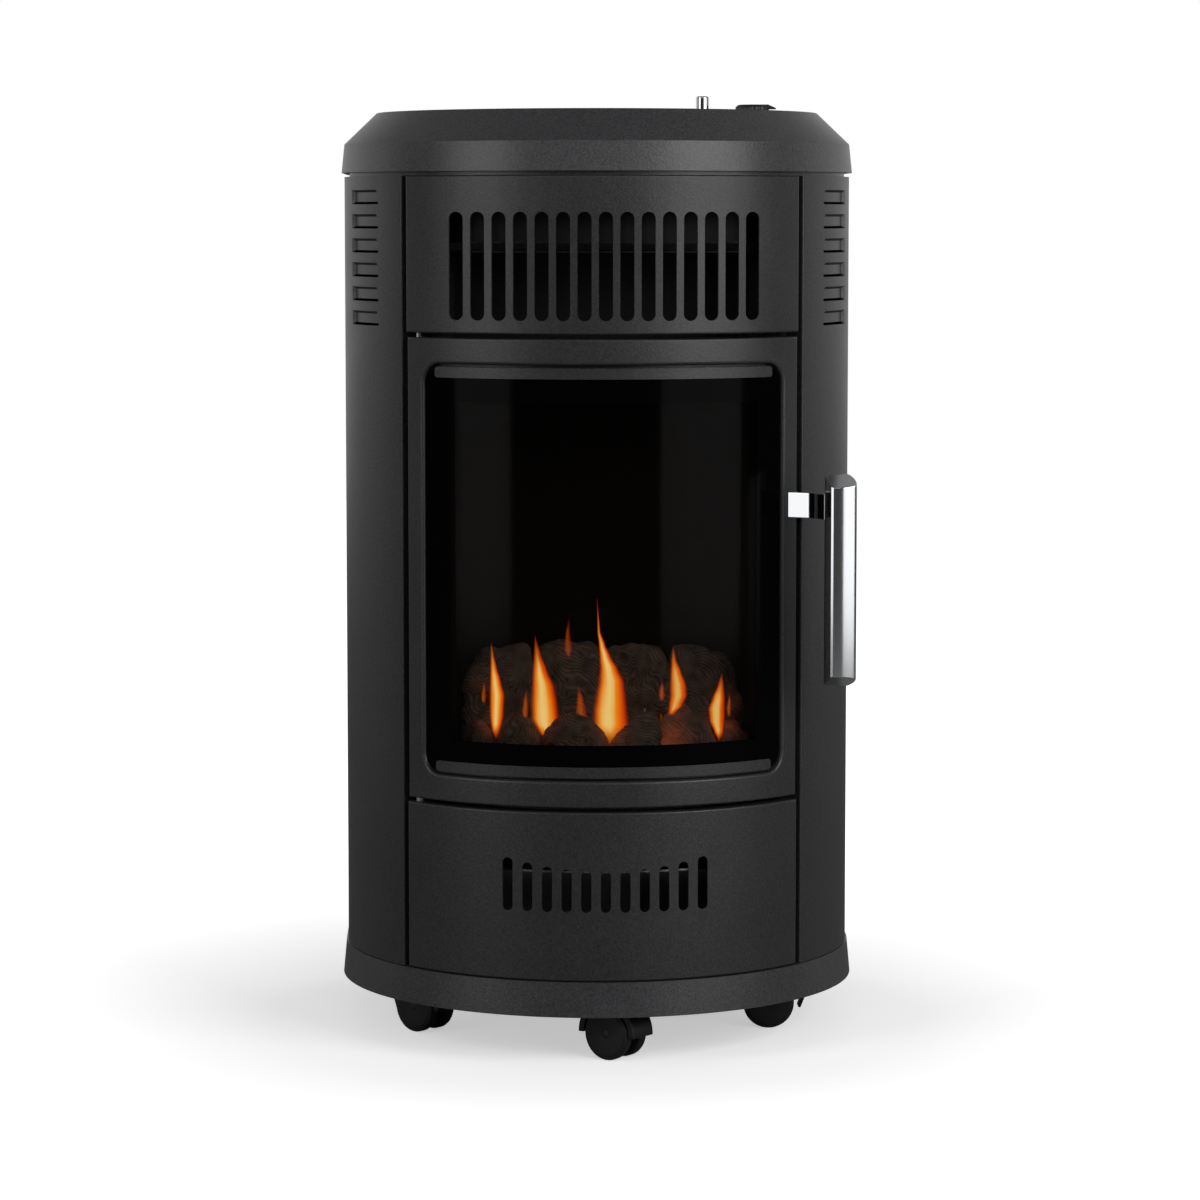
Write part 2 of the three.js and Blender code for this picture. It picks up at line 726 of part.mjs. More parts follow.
const postInnerAngle = POST_FROM_ANGLE - arcAngle(SEAT_GAP, POST_R - POST_LEG);
const BULKHEAD_Y = postCorner.y + BULKHEAD_BEHIND_POST;
const FIREBOX_BACK_Y = BULKHEAD_Y - FIREBOX_BACK_SPACE;
const FIREBOX_BACK_HALF = RIM_R - FIREBOX_SIDE_SPACE;
const TROUGH_Y = FIREBOX_BACK_Y - TROUGH_FROM_BACK;
const PILOT_Y = FIREBOX_BACK_Y - PILOT_FROM_BACK;
const FEED_RISE_X = FIREBOX_BACK_HALF - FEED_RISE_FROM_SIDE;
const FEED_RISE_Y = FIREBOX_BACK_Y - FEED_RISE_FROM_BACK;
const PIPE_RUN_X = RIM_R - PIPE_RUN_FROM_SIDE;
const PIPE_RUN_Y = BULKHEAD_Y + PIPE_RUN_BEHIND;
const BURNER_LENGTH = 2 * (FEED_RISE_X - BURNER_END_SPACE);

// The firebox in plan, drawn in by an inset: a bowed front, short radial cheeks, splayed sides.
function fireboxPlan(inset, front = FIREBOX_R) {
  const half = postInnerAngle - arcAngle(inset, FIREBOX_R - FIREBOX_KNEE);
  const knee = planPoint(FIREBOX_R - FIREBOX_KNEE, half);
  const back = FIREBOX_BACK_Y - inset;
  const side = FIREBOX_BACK_HALF - inset;
  return [
    ...planArc(front, -half, half),
    knee,
    new THREE.Vector2(side, back),
    new THREE.Vector2(-side, back),
    new THREE.Vector2(-knee.x, knee.y),
  ];
}

const pipeHoleRadius = (radius) => radius + PIPE_HOLE_CLEARANCE;

function firebox() {
  const shell = prism(fireboxPlan(0), FIREBOX_BOTTOM, FIREBOX_TOP);
  const hollow = prism(
    fireboxPlan(FIREBOX_SHEET, FIREBOX_R + 5),
    FIREBOX_BOTTOM + FIREBOX_SHEET,
    FIREBOX_TOP - FIREBOX_SHEET,
  );
  const hole = (x, y, radius) =>
    upright(x, y, FIREBOX_BOTTOM - 1, FIREBOX_BOTTOM + 3, pipeHoleRadius(radius), 16);
  return cut(
    shell,
    hollow,
    hole(FEED_RISE_X, FEED_RISE_Y, FEED_PIPE_RADIUS),
    hole(PILOT_X, PILOT_Y, PILOT_PIPE_RADIUS),
  );
}

function bulkhead() {
  const half = postCorner.x - SHEET - SEAT_GAP;
  const path = [
    new THREE.Vector2(half, BULKHEAD_Y - BULKHEAD_WING),
    new THREE.Vector2(half, BULKHEAD_Y),
    new THREE.Vector2(-half, BULKHEAD_Y),
    new THREE.Vector2(-half, BULKHEAD_Y - BULKHEAD_WING),
  ];
  const plate = prism(folded(path, SHEET), LOWER_BOTTOM, UPPER_TOP);
  const hole = (z, radius) =>
    rod([PIPE_RUN_X, BULKHEAD_Y - 5, z], [PIPE_RUN_X, BULKHEAD_Y + 5, z], pipeHoleRadius(radius), 16);
  return cut(
    plate,
    hole(PIPE_RUN_HEIGHT, FEED_PIPE_RADIUS),
    hole(PIPE_RUN_HEIGHT - PIPE_SPACING, PILOT_PIPE_RADIUS),
  );
}

function hotAirBaffle() {
  const outer = SHELL_R - BAFFLE_SET_BACK;
  const bottom = UPPER_TOP - BAFFLE_DROP;
  const from = -postInnerAngle;
  const to = postInnerAngle;
  const inner = outer - SHEET;
  return join(
    curvedPlate({ inner, outer, from, to, bottom, top: UPPER_TOP }),
    curvedPlate({ inner, outer: outer + BAFFLE_LIP, from, to, bottom, top: bottom + SHEET }),
    curvedPlate({ inner: inner - FLANGE, outer, from, to, bottom: UPPER_TOP - SHEET, top: UPPER_TOP }),
  );
}

function lowerShelf() {
  const radius = SHELL_R - SHELF_SET_BACK;
  const back = BULKHEAD_Y - SHEET - SEAT_GAP;
  const corner = planPoint(POST_R - POST_LEG, postInnerAngle);
  const edge = [...planArc(radius, -postInnerAngle, postInnerAngle), corner];
  const outline = [
    ...edge,
    new THREE.Vector2(corner.x, back),
    new THREE.Vector2(-corner.x, back),
    new THREE.Vector2(-corner.x, corner.y),
  ];
  const plate = prism(outline, SHELF_HEIGHT - SHEET, SHELF_HEIGHT);
  const lip = box(-corner.x, corner.x, back - SHEET, back, SHELF_HEIGHT - SHELF_LIP, SHELF_HEIGHT);
  return join(plate, lip);
}

// ---------------------------------------------------------------- burner and coal bed

const FLOOR_Z = FIREBOX_BOTTOM + FIREBOX_SHEET;
const TRAY_BOTTOM = FLOOR_Z + SEAT_GAP;
const TRAY_TOP = TRAY_BOTTOM + TRAY_HEIGHT;
const BED_Z = TRAY_TOP + SEAT_GAP;
const BURNER_Z = TRAY_TOP - SHEET - BURNER_BELOW_DECK - BURNER_RADIUS;

function burnerTray() {
  const wall = FIREBOX_SHEET + TRAY_CLEARANCE;
  const front = FIREBOX_R - TRAY_FRONT_BACK;
  const shell = cut(
    prism(fireboxPlan(wall, front), TRAY_BOTTOM, TRAY_TOP),
    prism(fireboxPlan(wall + SHEET, front - SHEET), TRAY_BOTTOM - 1, TRAY_TOP - SHEET),
  );
  const pitch = (BURNER_LENGTH - 2 * TRAY_PORT_MARGIN) / (TRAY_PORTS - 1);
  const ports = Array.from({ length: TRAY_PORTS }, (_, i) => {
    const x = (i - (TRAY_PORTS - 1) / 2) * pitch;
    const outline = slot(x, TROUGH_Y - TRAY_PORT_LENGTH, TROUGH_Y, TRAY_PORT_WIDTH, 2);
    return prism(outline, TRAY_TOP - 5, TRAY_TOP + 1);
  });
  const pilotRadius = pipeHoleRadius(PILOT_PIPE_RADIUS);
  const pilotHole = upright(PILOT_X, PILOT_Y, TRAY_TOP - 5, TRAY_TOP + 1, pilotRadius, 16);
  return cut(shell, ports, pilotHole);
}

function burnerTube() {
  const half = BURNER_LENGTH / 2;
  const tube = rod([-half, TROUGH_Y, BURNER_Z], [half, TROUGH_Y, BURNER_Z], BURNER_RADIUS, 20);
  const bore = rod(
    [-half + SHEET, TROUGH_Y, BURNER_Z],
    [half + 1, TROUGH_Y, BURNER_Z],
    BURNER_RADIUS - SHEET,
    20,
  );
  const pitch = (BURNER_LENGTH - 2 * BURNER_PORT_MARGIN) / (BURNER_PORTS - 1);
  const ports = Array.from({ length: BURNER_PORTS }, (_, i) => {
    const x = (i - (BURNER_PORTS - 1) / 2) * pitch;
    const w = BURNER_PORT_WIDTH / 2;
    const l = BURNER_PORT_LENGTH / 2;
    return box(x - w, x + w, TROUGH_Y - l, TROUGH_Y + l, BURNER_Z + 5, BURNER_Z + BURNER_RADIUS + 1);
  });
  const feet = [-1, 1].map((side) => {
    const x = side * (half - BURNER_FOOT_MARGIN);
    const w = BURNER_FOOT_WIDTH / 2;
    const l = BURNER_FOOT / 2;
    return box(x - w, x + w, TROUGH_Y - l, TROUGH_Y + l, TRAY_BOTTOM, BURNER_Z);
  });
  return cut(join(tube, feet), bore, ports);
}

// A rough stone: a ball whose skin is pushed in and out by a few waves.
function stone(x, y, bottom, width, depth, height, seed) {
  const geometry = new THREE.IcosahedronGeometry(1, 2);
  const place = geometry.getAttribute("position");
  const point = new THREE.Vector3();
  for (let i = 0; i < place.count; i++) {
    point.fromBufferAttribute(place, i).normalize();
    const wave =
      Math.sin(3.1 * point.x + seed) * Math.cos(2.7 * point.z - seed) +
      0.6 * Math.sin(5.3 * point.z + 2.3 * seed + 2 * point.y);
    // A flattened underside keeps the stone from rolling.
    const height01 = Math.max(point.z, -0.7);
    const reach = 1 + 0.09 * wave;
    place.setXYZ(i, point.x * reach, point.y * reach, height01 * (1 + 0.05 * wave));
  }
  geometry.computeBoundingBox();
  const size = geometry.boundingBox.getSize(new THREE.Vector3());
  const middle = geometry.boundingBox.getCenter(new THREE.Vector3());
  geometry.translate(-middle.x, -middle.y, -geometry.boundingBox.min.z);
  geometry.scale(width / size.x, depth / size.y, height / size.z);
  return solid(geometry.translate(x, y, bottom));
}

// The rear coals are moulded as one piece that stands along the back of the firebox.
function rearCoals() {
  const back = FIREBOX_BACK_Y - FIREBOX_SHEET - SEAT_GAP;
  const y = back - BACK_COAL_DEPTH / 2;
  const count = BACK_COAL_HEIGHTS.length;
  const reach = FIREBOX_BACK_HALF - FIREBOX_SHEET - BACK_COAL_SIDE_GAP - BACK_COAL_WIDTH / 2;
  const pitch = (2 * reach) / (count - 1);
  const stones = BACK_COAL_HEIGHTS.map((height, i) =>
    stone(i * pitch - reach, y, BED_Z, BACK_COAL_WIDTH, BACK_COAL_DEPTH, height, i * 1.7),
  );
  const half = reach + BACK_COAL_WIDTH / 4;
  const footing = box(-half, half, back - BACK_COAL_DEPTH * 0.75, back - 3, BED_Z, BED_Z + 14);
  return join(footing, stones);
}

// The front coals lie in a row along the bowed front.
const FRONT_COAL_R = FIREBOX_R - FRONT_COAL_SET_BACK;
function frontCoal([angle, span, height], i) {
  const { x, y } = planPoint(FRONT_COAL_R, angle);
  const width = rad(span) * FRONT_COAL_R;
  return stone(x, y, BED_Z, width, FRONT_COAL_DEPTH, height, 2.1 * i + 0.8);
}

const PLATE_TOP = BED_Z + SHEET;

// The pilot burner stands on a small plate that also holds the electrode and the thermocouple.
function pilotBurner() {
  const half = PILOT_PLATE / 2;
  const plate = box(
    PILOT_X - half,
    PILOT_X + half,
    PILOT_Y - PILOT_PLATE_DEPTH / 2,
    PILOT_Y + PILOT_PLATE_DEPTH / 2,
    BED_Z,
    BED_Z + SHEET,
  );
  const barrel = upright(PILOT_X, PILOT_Y, BED_Z, PLATE_TOP + PILOT_HEIGHT, PILOT_RADIUS, 16);
  const nut = upright(PILOT_X, PILOT_Y, BED_Z, PLATE_TOP + 5, PILOT_RADIUS + 1.5, 6);
  const mouth = box(
    PILOT_X,
    PILOT_X + 2 * PILOT_RADIUS,
    PILOT_Y - PILOT_RADIUS * 0.6,
    PILOT_Y + PILOT_RADIUS * 0.6,
    PLATE_TOP + PILOT_HEIGHT - 7,
    PLATE_TOP + PILOT_HEIGHT - 3,
  );
  const holes = [-PROBE_OFFSET, PROBE_OFFSET].map((shift) =>
    upright(PILOT_X + shift, PILOT_Y, BED_Z - 1, PLATE_TOP + 1, PROBE_RADIUS + SEAT_GAP, 16),
  );
  return cut(join(plate, barrel, nut), mouth, holes);
}

// The electrode and the thermocouple are plain rods that stand in the bracket on a collar.
function probe(side, collar, tip) {
  return turned(PILOT_X + side * PROBE_OFFSET, PILOT_Y, [
    [0, BED_Z],
    [PROBE_RADIUS, BED_Z],
    [PROBE_RADIUS, PLATE_TOP + SEAT_GAP],
    [collar, PLATE_TOP + SEAT_GAP],
    [collar, PLATE_TOP + PROBE_HEIGHT * 0.6],
    [tip, PLATE_TOP + PROBE_HEIGHT * 0.65],
    [tip, PLATE_TOP + PROBE_HEIGHT],
    [0, PLATE_TOP + PROBE_HEIGHT],
  ], 12);
}

// ---------------------------------------------------------------- door

const DOOR_BACK_R = SHELL_R - DOOR_DEPTH;
const REBATE_R = SHELL_R - REBATE_DEPTH;
const GASKET_R = REBATE_R + SEAT_GAP;
const GLASS_R = GASKET_R + GASKET + SEAT_GAP;
const RETAINER_R = GLASS_R + GLASS + SEAT_GAP;
const WINDOW_BOTTOM = DOOR_BOTTOM + WINDOW_MARGIN + 0.9;
const WINDOW_TOP = DOOR_TOP - WINDOW_MARGIN;
const RETAINER_TOP = WINDOW_TOP - RETAINER_MARGIN;
const RETAINER_BOTTOM = WINDOW_BOTTOM + RETAINER_MARGIN;

const windowPlate = (inner, outer, margin, corner) => {
  const turn = arcAngle(margin, SHELL_R);
  return curvedPlate({
    inner,
    outer,
    from: -WINDOW_HALF_ANGLE - turn,
    to: WINDOW_HALF_ANGLE + turn,
    bottom: WINDOW_BOTTOM - margin,
    top: WINDOW_TOP + margin,
    corner,
  });
};

function doorFrame() {
  const tray = curvedTray(DOOR_HALF_ANGLE, DOOR_BOTTOM, DOOR_TOP, DOOR_DEPTH);
  const well = windowPlate(DOOR_BACK_R, SHELL_R - SHEET / 2, SHEET, WINDOW_CORNER + SHEET);
  const opening = windowPlate(REBATE_R, SHELL_R + 5, 0, WINDOW_CORNER);
  const aperture = windowPlate(DOOR_BACK_R - 5, SHELL_R + 5, -REBATE_WIDTH, WINDOW_CORNER - 6);
  return cut(
    join(tray, well),
    opening,
    aperture,
    hingeHole(DOOR_TOP - SHEET, DOOR_TOP, SEAT_GAP),
    hingeHole(DOOR_BOTTOM, DOOR_BOTTOM + SHEET, SEAT_GAP),
  );
}

const glassHalf = WINDOW_HALF_ANGLE - arcAngle(GLASS_SIDE_GAP, SHELL_R);
const glassBottom = RETAINER_BOTTOM + SHEET + SEAT_GAP;
const glassTop = RETAINER_TOP - SHEET - SEAT_GAP;

const doorGlass = () =>
  curvedPlate({
    inner: GLASS_R,
    outer: GLASS_R + GLASS,
    from: -glassHalf,
    to: glassHalf,
    bottom: glassBottom,
    top: glassTop,
    corner: GLASS_CORNER,
  });

function glassGasket() {
  const inset = arcAngle(REBATE_WIDTH - 2, GLASS_R);
  const ring = { inner: GASKET_R, outer: GASKET_R + GASKET };
  const outline = { from: -glassHalf, to: glassHalf, bottom: glassBottom, top: glassTop };
  const aperture = {
    inner: GASKET_R - 1,
    outer: GASKET_R + GASKET + 1,
    from: -glassHalf + inset,
    to: glassHalf - inset,
    bottom: glassBottom + REBATE_WIDTH - 4,
    top: glassTop - REBATE_WIDTH + 4,
    corner: GLASS_CORNER - 4,
  };
  return cut(curvedPlate({ ...ring, ...outline, corner: GLASS_CORNER }), curvedPlate(aperture));
}

// A clamp strip: its face laps over the glass and its leg passes the glass's edge to the rebate.
function glassRetainer(side) {
  const edge = side > 0 ? RETAINER_TOP : RETAINER_BOTTOM;
  const from = -RETAINER_HALF_ANGLE;
  const to = RETAINER_HALF_ANGLE;
  const span = (depth) => ({
    bottom: Math.min(edge, edge - side * depth),
    top: Math.max(edge, edge - side * depth),
  });
  const outer = RETAINER_R + SHEET;
  return join(
    curvedPlate({ inner: RETAINER_R, outer, from, to, ...span(RETAINER_HEIGHT), corner: 2 }),
    curvedPlate({ inner: GASKET_R, outer: outer - SHEET / 2, from: from + 1, to: to - 1, ...span(SHEET) }),
  );
}

function hingeBracket(side) {
  const flange = side > 0 ? UPPER_BOTTOM + SHEET + SEAT_GAP : LOWER_TOP - SHEET - SEAT_GAP;
  const span = (depth) => ({
    bottom: Math.min(flange, flange + side * depth),
    top: Math.max(flange, flange + side * depth),
  });
  const arc = { inner: RETURN_R, from: HINGE_PLATE_FROM_ANGLE, to: HINGE_PLATE_TO_ANGLE };
  const plate = curvedPlate({ ...arc, outer: SHELL_R - SHEET - SEAT_GAP, ...span(HINGE_PLATE) });
  const tab = curvedPlate({ ...arc, outer: RETURN_R + HINGE_PLATE, ...span(HINGE_TAB) });
  const { bottom, top } = span(HINGE_PLATE);
  return cut(join(plate, tab), hingeHole(bottom, top, SEAT_GAP));
}

// The door hangs on two headed pins. The lower one has a collar that carries the door.
function hingePinTop() {
  const end = UPPER_BOTTOM + SHEET + SEAT_GAP + HINGE_PLATE + 2;
  const head = DOOR_TOP - SHEET - SEAT_GAP;
  return turned(hinge.x, hinge.y, [
    [0, head - PIN_HEAD],
    [PIN_HEAD_RADIUS, head - PIN_HEAD],
    [PIN_HEAD_RADIUS, head],
    [PIN_RADIUS, head],
    [PIN_RADIUS, end],
    [0, end],
  ], 16);
}

function hingePinBottom() {
  const end = LOWER_TOP - SHEET - SEAT_GAP - HINGE_PLATE - 2;
  const head = DOOR_BOTTOM + SHEET + SEAT_GAP;
  return turned(hinge.x, hinge.y, [
    [0, end],
    [PIN_RADIUS, end],
    [PIN_RADIUS, LOWER_TOP + SEAT_GAP],
    [PIN_HEAD_RADIUS, LOWER_TOP + SEAT_GAP],
    [PIN_HEAD_RADIUS, DOOR_BOTTOM - SEAT_GAP],
    [PIN_RADIUS, DOOR_BOTTOM - SEAT_GAP],
    [PIN_RADIUS, head],
    [PIN_HEAD_RADIUS, head],
    [PIN_HEAD_RADIUS, head + PIN_HEAD],
    [0, head + PIN_HEAD],
  ], 16);
}

const catchZ = DOOR_BOTTOM + CATCH_ABOVE_DOOR;

const magnetCatch = () =>
  curvedPlate({
    inner: RETURN_R,
    outer: DOOR_BACK_R,
    from: CATCH_FROM_ANGLE,
    to: CATCH_TO_ANGLE,
    bottom: catchZ - CATCH_HEIGHT / 2,
    top: catchZ + CATCH_HEIGHT / 2,
  });

const catchStrike = () =>
  curvedPlate({
    inner: DOOR_BACK_R + SEAT_GAP,
    outer: DOOR_BACK_R + SEAT_GAP + SHEET,
    from: WINDOW_HALF_ANGLE + arcAngle(SHEET + 2 * SEAT_GAP, SHELL_R - REBATE_DEPTH),
    to: DOOR_HALF_ANGLE - arcAngle(SHEET + 2 * SEAT_GAP, SHELL_R - REBATE_DEPTH),
    bottom: catchZ - STRIKE_HEIGHT / 2,
    top: catchZ + STRIKE_HEIGHT / 2,
  });

// ---------------------------------------------------------------- handle

const bracketFoot = planPoint(SHELL_R + SEAT_GAP, BRACKET_ANGLE);
const barCorner = new THREE.Vector2(bracketFoot.x + BAR_ASIDE, bracketFoot.y - BAR_FORWARD);

// A point of the bar's section in plan: along its back, then forward.
function barPoint(along, forward) {
  const turn = rad(BAR_TURN);
  return new THREE.Vector2(
    barCorner.x + along * Math.cos(turn) + forward * Math.sin(turn),
    barCorner.y + along * Math.sin(turn) - forward * Math.cos(turn),
  );
}

// The bracket lies on the stile, stands out from it and turns along the back of the bar.
function handleBracket() {
  const face = SHELL_R + SEAT_GAP;
  const path = [
    planPoint(face, BRACKET_ANGLE + arcAngle(BRACKET_PAD, face)),
    bracketFoot,
    barPoint(0, -SEAT_GAP),
    barPoint(BRACKET_FLANGE, -SEAT_GAP),
  ];
  const bottom = DOOR_BOTTOM + BRACKET_ABOVE_DOOR;
  return prism(folded(path, BRACKET_SHEET), bottom, bottom + BRACKET_HEIGHT);
}

function handleBar() {
  const bottom = DOOR_BOTTOM + BAR_ABOVE_DOOR;
  const section = BAR_SECTION.map(([along, forward]) => barPoint(along, forward));
  const ring = (height, slant) =>
    section.map(({ x, y }) => new THREE.Vector3(x, y, height + slant * (barCorner.y - y)));
  return lofted([ring(bottom, BAR_SLANT), ring(bottom + BAR_LENGTH, -BAR_SLANT)]);
}

// ---------------------------------------------------------------- controls and gas train

const DECK_Z = LID_INSIDE - CONTROL_DROP;
const DECK_UNDER = DECK_Z - SHEET;

// A hat-section bracket under the lid carries the valve and the igniter.
function controlBracket() {
  const left = BUTTON_X - BRACKET_SIDE;
  const right = KNOB_X + BRACKET_SIDE;
  const head = LID_INSIDE - SEAT_GAP;
  const path = [
    [left - BRACKET_FOOT, head],
    [left, head],
    [left, DECK_Z],
    [right, DECK_Z],
    [right, head],
    [right + BRACKET_FOOT, head],
  ].map(([x, z]) => new THREE.Vector2(x, z));
  // The strip lies below its path, so the path is walked from right to left.
  const hat = prism(
    folded(path.reverse(), SHEET),
    -CONTROL_Y - BRACKET_DEPTH / 2,
    -CONTROL_Y + BRACKET_DEPTH / 2,
    FRONT,
  );
  const hole = (x, radius) => upright(x, CONTROL_Y, DECK_UNDER - 2, DECK_Z + 2, radius, 20);
  return cut(hat, hole(KNOB_X, VALVE_NECK_RADIUS + SEAT_GAP), hole(BUTTON_X, IGNITER_RADIUS + SEAT_GAP));
}

const VALVE_TOP = DECK_UNDER - SEAT_GAP;
const NECK_TOP = VALVE_TOP + VALVE_NECK_HEIGHT;

function gasValve() {
  const half = VALVE_WIDTH / 2;
  const deep = VALVE_DEPTH / 2;
  const trim = 5;
  const outline = [
    [-half + trim, -deep],
    [half - trim, -deep],
    [half, -deep + trim],
    [half, deep - trim],
    [half - trim, deep],
    [-half + trim, deep],
    [-half, deep - trim],
    [-half, -deep + trim],
  ].map(([x, y]) => new THREE.Vector2(KNOB_X + x, CONTROL_Y + y));
  const neck = upright(KNOB_X, CONTROL_Y, VALVE_TOP - 2, NECK_TOP, VALVE_NECK_RADIUS);
  const bore = upright(
    KNOB_X,
    CONTROL_Y,
    NECK_TOP - PUSH_ROD_LENGTH - 3,
    NECK_TOP + 1,
    PUSH_ROD_RADIUS + SEAT_GAP,
  );
  return cut(join(prism(outline, VALVE_TOP - VALVE_HEIGHT, VALVE_TOP), neck), bore);
}

const pushRodTop = NECK_TOP + 1;
const valvePushRod = () =>
  upright(KNOB_X, CONTROL_Y, pushRodTop - PUSH_ROD_LENGTH, pushRodTop, PUSH_ROD_RADIUS, 16);

// A low knob with a bevelled rim, a pointer nose to the right, and its spindle below.
function controlKnob() {
  const bottom = LID_TOP + KNOB_LIFT;
  const top = bottom + KNOB_HEIGHT;
  const disc = turned(KNOB_X, CONTROL_Y, [
    [0, pushRodTop + SEAT_GAP],
    [SPINDLE_RADIUS, pushRodTop + SEAT_GAP],
    [SPINDLE_RADIUS, bottom],
    [KNOB_RADIUS, bottom],
    [KNOB_RADIUS, bottom + KNOB_HEIGHT * 0.55],
    [KNOB_RADIUS - 2, top],
    [0, top],
  ]);
  const under = LID_TOP + SEAT_GAP + BEZEL_HEIGHT + KNOB_LIFT;
  const nose = [
    [0, under],
    [KNOB_RADIUS + KNOB_NOSE, under],
    [KNOB_RADIUS + KNOB_NOSE, under + 1],
    [KNOB_RADIUS - 1, top],
    [0, top],
  ].map(([x, z]) => new THREE.Vector2(KNOB_X + x, z));
  return join(disc, prism(nose, -CONTROL_Y - 4, -CONTROL_Y + 4, FRONT));
}

function knobBezel() {
  const bottom = LID_TOP + SEAT_GAP;
  const ring = upright(KNOB_X, CONTROL_Y, bottom, bottom + BEZEL_HEIGHT, BEZEL_OUTER, 32);
  return cut(ring, upright(KNOB_X, CONTROL_Y, bottom - 1, bottom + BEZEL_HEIGHT + 1, BEZEL_INNER, 32));
}

const BUTTON_TOP = LID_TOP + BUTTON_RISE;
const BUTTON_BOTTOM = BUTTON_TOP - BUTTON_LENGTH;

const igniterButton = () =>
  turned(BUTTON_X, CONTROL_Y, [
    [0, BUTTON_BOTTOM],
    [BUTTON_RADIUS, BUTTON_BOTTOM],
    [BUTTON_RADIUS, BUTTON_TOP - 1],
    [BUTTON_RADIUS - 1.2, BUTTON_TOP],
    [0, BUTTON_TOP],
  ]);

function piezoIgniter() {
  const top = DECK_Z + 14;
  const bottom = top - IGNITER_LENGTH;
  const collar = DECK_Z + SEAT_GAP;
  const body = turned(BUTTON_X, CONTROL_Y, [
    [0, bottom],
    [3, bottom],
    [3, bottom + 8],
    [IGNITER_RADIUS, bottom + 8],
    [IGNITER_RADIUS, collar],
    [IGNITER_COLLAR, collar],
    [IGNITER_COLLAR, collar + 3],
    [IGNITER_RADIUS, collar + 3],
    [IGNITER_RADIUS, top],
    [0, top],
  ]);
  return cut(body, upright(BUTTON_X, CONTROL_Y, BUTTON_BOTTOM - 10, top + 1, BUTTON_RADIUS + SEAT_GAP));
}

const OUTLET_Z = VALVE_TOP - VALVE_HEIGHT / 2;

// The barbed tail that a gas hose pushes onto, at the back of the valve.
function hoseTail() {
  const start = CONTROL_Y + VALVE_DEPTH / 2 + SEAT_GAP;
  const profile = [
    new THREE.Vector2(0, 0),
    new THREE.Vector2(8, 0),
    new THREE.Vector2(8, 9),
    new THREE.Vector2(HOSE_TAIL_RADIUS - 0.8, 9),
  ];
  for (let reach = 13; reach + 5 <= HOSE_TAIL_LENGTH; reach += 6) {
    profile.push(new THREE.Vector2(HOSE_TAIL_RADIUS - 0.8, reach));
    profile.push(new THREE.Vector2(HOSE_TAIL_RADIUS, reach));
    profile.push(new THREE.Vector2(HOSE_TAIL_RADIUS - 0.8, reach + 5));
  }
  profile.push(new THREE.Vector2(0, profile.at(-1).y));
  return solid(new THREE.LatheGeometry(profile, 16).translate(KNOB_X, start, OUTLET_Z));
}

// A bent tube of round section: straight runs between corners, with a bend at each corner.
function bentTube(corners, radius, steps) {
  const points = corners.map((corner) => new THREE.Vector3(...corner));
  const path = new THREE.CurvePath();
  let from = points[0];
  for (let i = 1; i + 1 < points.length; i++) {
    const before = points[i - 1].distanceTo(points[i]);
    const after = points[i + 1].distanceTo(points[i]);
    const bend = Math.min(PIPE_BEND, before / 2, after / 2);
    const enter = points[i].clone().lerp(points[i - 1], bend / before);
    const leave = points[i].clone().lerp(points[i + 1], bend / after);
    if (from.distanceTo(enter) > SEAT_GAP) path.add(new THREE.LineCurve3(from, enter));
    path.add(new THREE.QuadraticBezierCurve3(enter, points[i], leave));
    from = leave;
  }
  path.add(new THREE.LineCurve3(from, points.at(-1)));
  const sides = 8;
  const turns = Array.from({ length: sides }, (_, i) => (2 * Math.PI * i) / sides);
  const section = new THREE.Shape(
    turns.map((turn) => new THREE.Vector2(radius * Math.cos(turn), radius * Math.sin(turn))),
  );
  return solid(new THREE.ExtrudeGeometry(section, { steps, extrudePath: path, bevelEnabled: false }));
}

// Both pipes leave the valve, drop behind the bulkhead, pass through it and rise into the firebox.
const valveFront = CONTROL_Y - VALVE_DEPTH / 2 - SEAT_GAP;

function burnerFeedPipe() {
  const end = BURNER_LENGTH / 2 + SEAT_GAP;
  return bentTube([
    [KNOB_X, valveFront, OUTLET_Z],
    [KNOB_X, PIPE_RUN_Y + 2 * PIPE_BEND, OUTLET_Z],
    [PIPE_RUN_X, PIPE_RUN_Y, OUTLET_Z - PIPE_BEND],
    [PIPE_RUN_X, PIPE_RUN_Y, PIPE_RUN_HEIGHT],
    [PIPE_RUN_X, BULKHEAD_Y - BULKHEAD_WING, PIPE_RUN_HEIGHT],
    [FEED_RISE_X, FEED_RISE_Y, PIPE_RUN_HEIGHT],
    [FEED_RISE_X, FEED_RISE_Y, BURNER_Z],
    [FEED_RISE_X, TROUGH_Y, BURNER_Z],
    [end, TROUGH_Y, BURNER_Z],
  ], FEED_PIPE_RADIUS, 54);
}

function pilotFeedPipe() {
  const lane = PIPE_SPACING / 2;
  const run = PIPE_RUN_HEIGHT - PIPE_SPACING;
  return bentTube([
    [KNOB_X - lane, valveFront, OUTLET_Z - lane],
    [KNOB_X - lane, PIPE_RUN_Y + 3 * PIPE_BEND, OUTLET_Z - lane],
    [PIPE_RUN_X, PIPE_RUN_Y + lane, OUTLET_Z - 2 * PIPE_BEND],
    [PIPE_RUN_X, PIPE_RUN_Y + lane, run],
    [PIPE_RUN_X, BULKHEAD_Y - BULKHEAD_WING, run],
    [PILOT_X + PIPE_BEND, PILOT_Y, run],
    [PILOT_X, PILOT_Y, run + PIPE_BEND],
    [PILOT_X, PILOT_Y, TRAY_TOP],
  ], PILOT_PIPE_RADIUS, 50);
}

// ---------------------------------------------------------------- rear cover

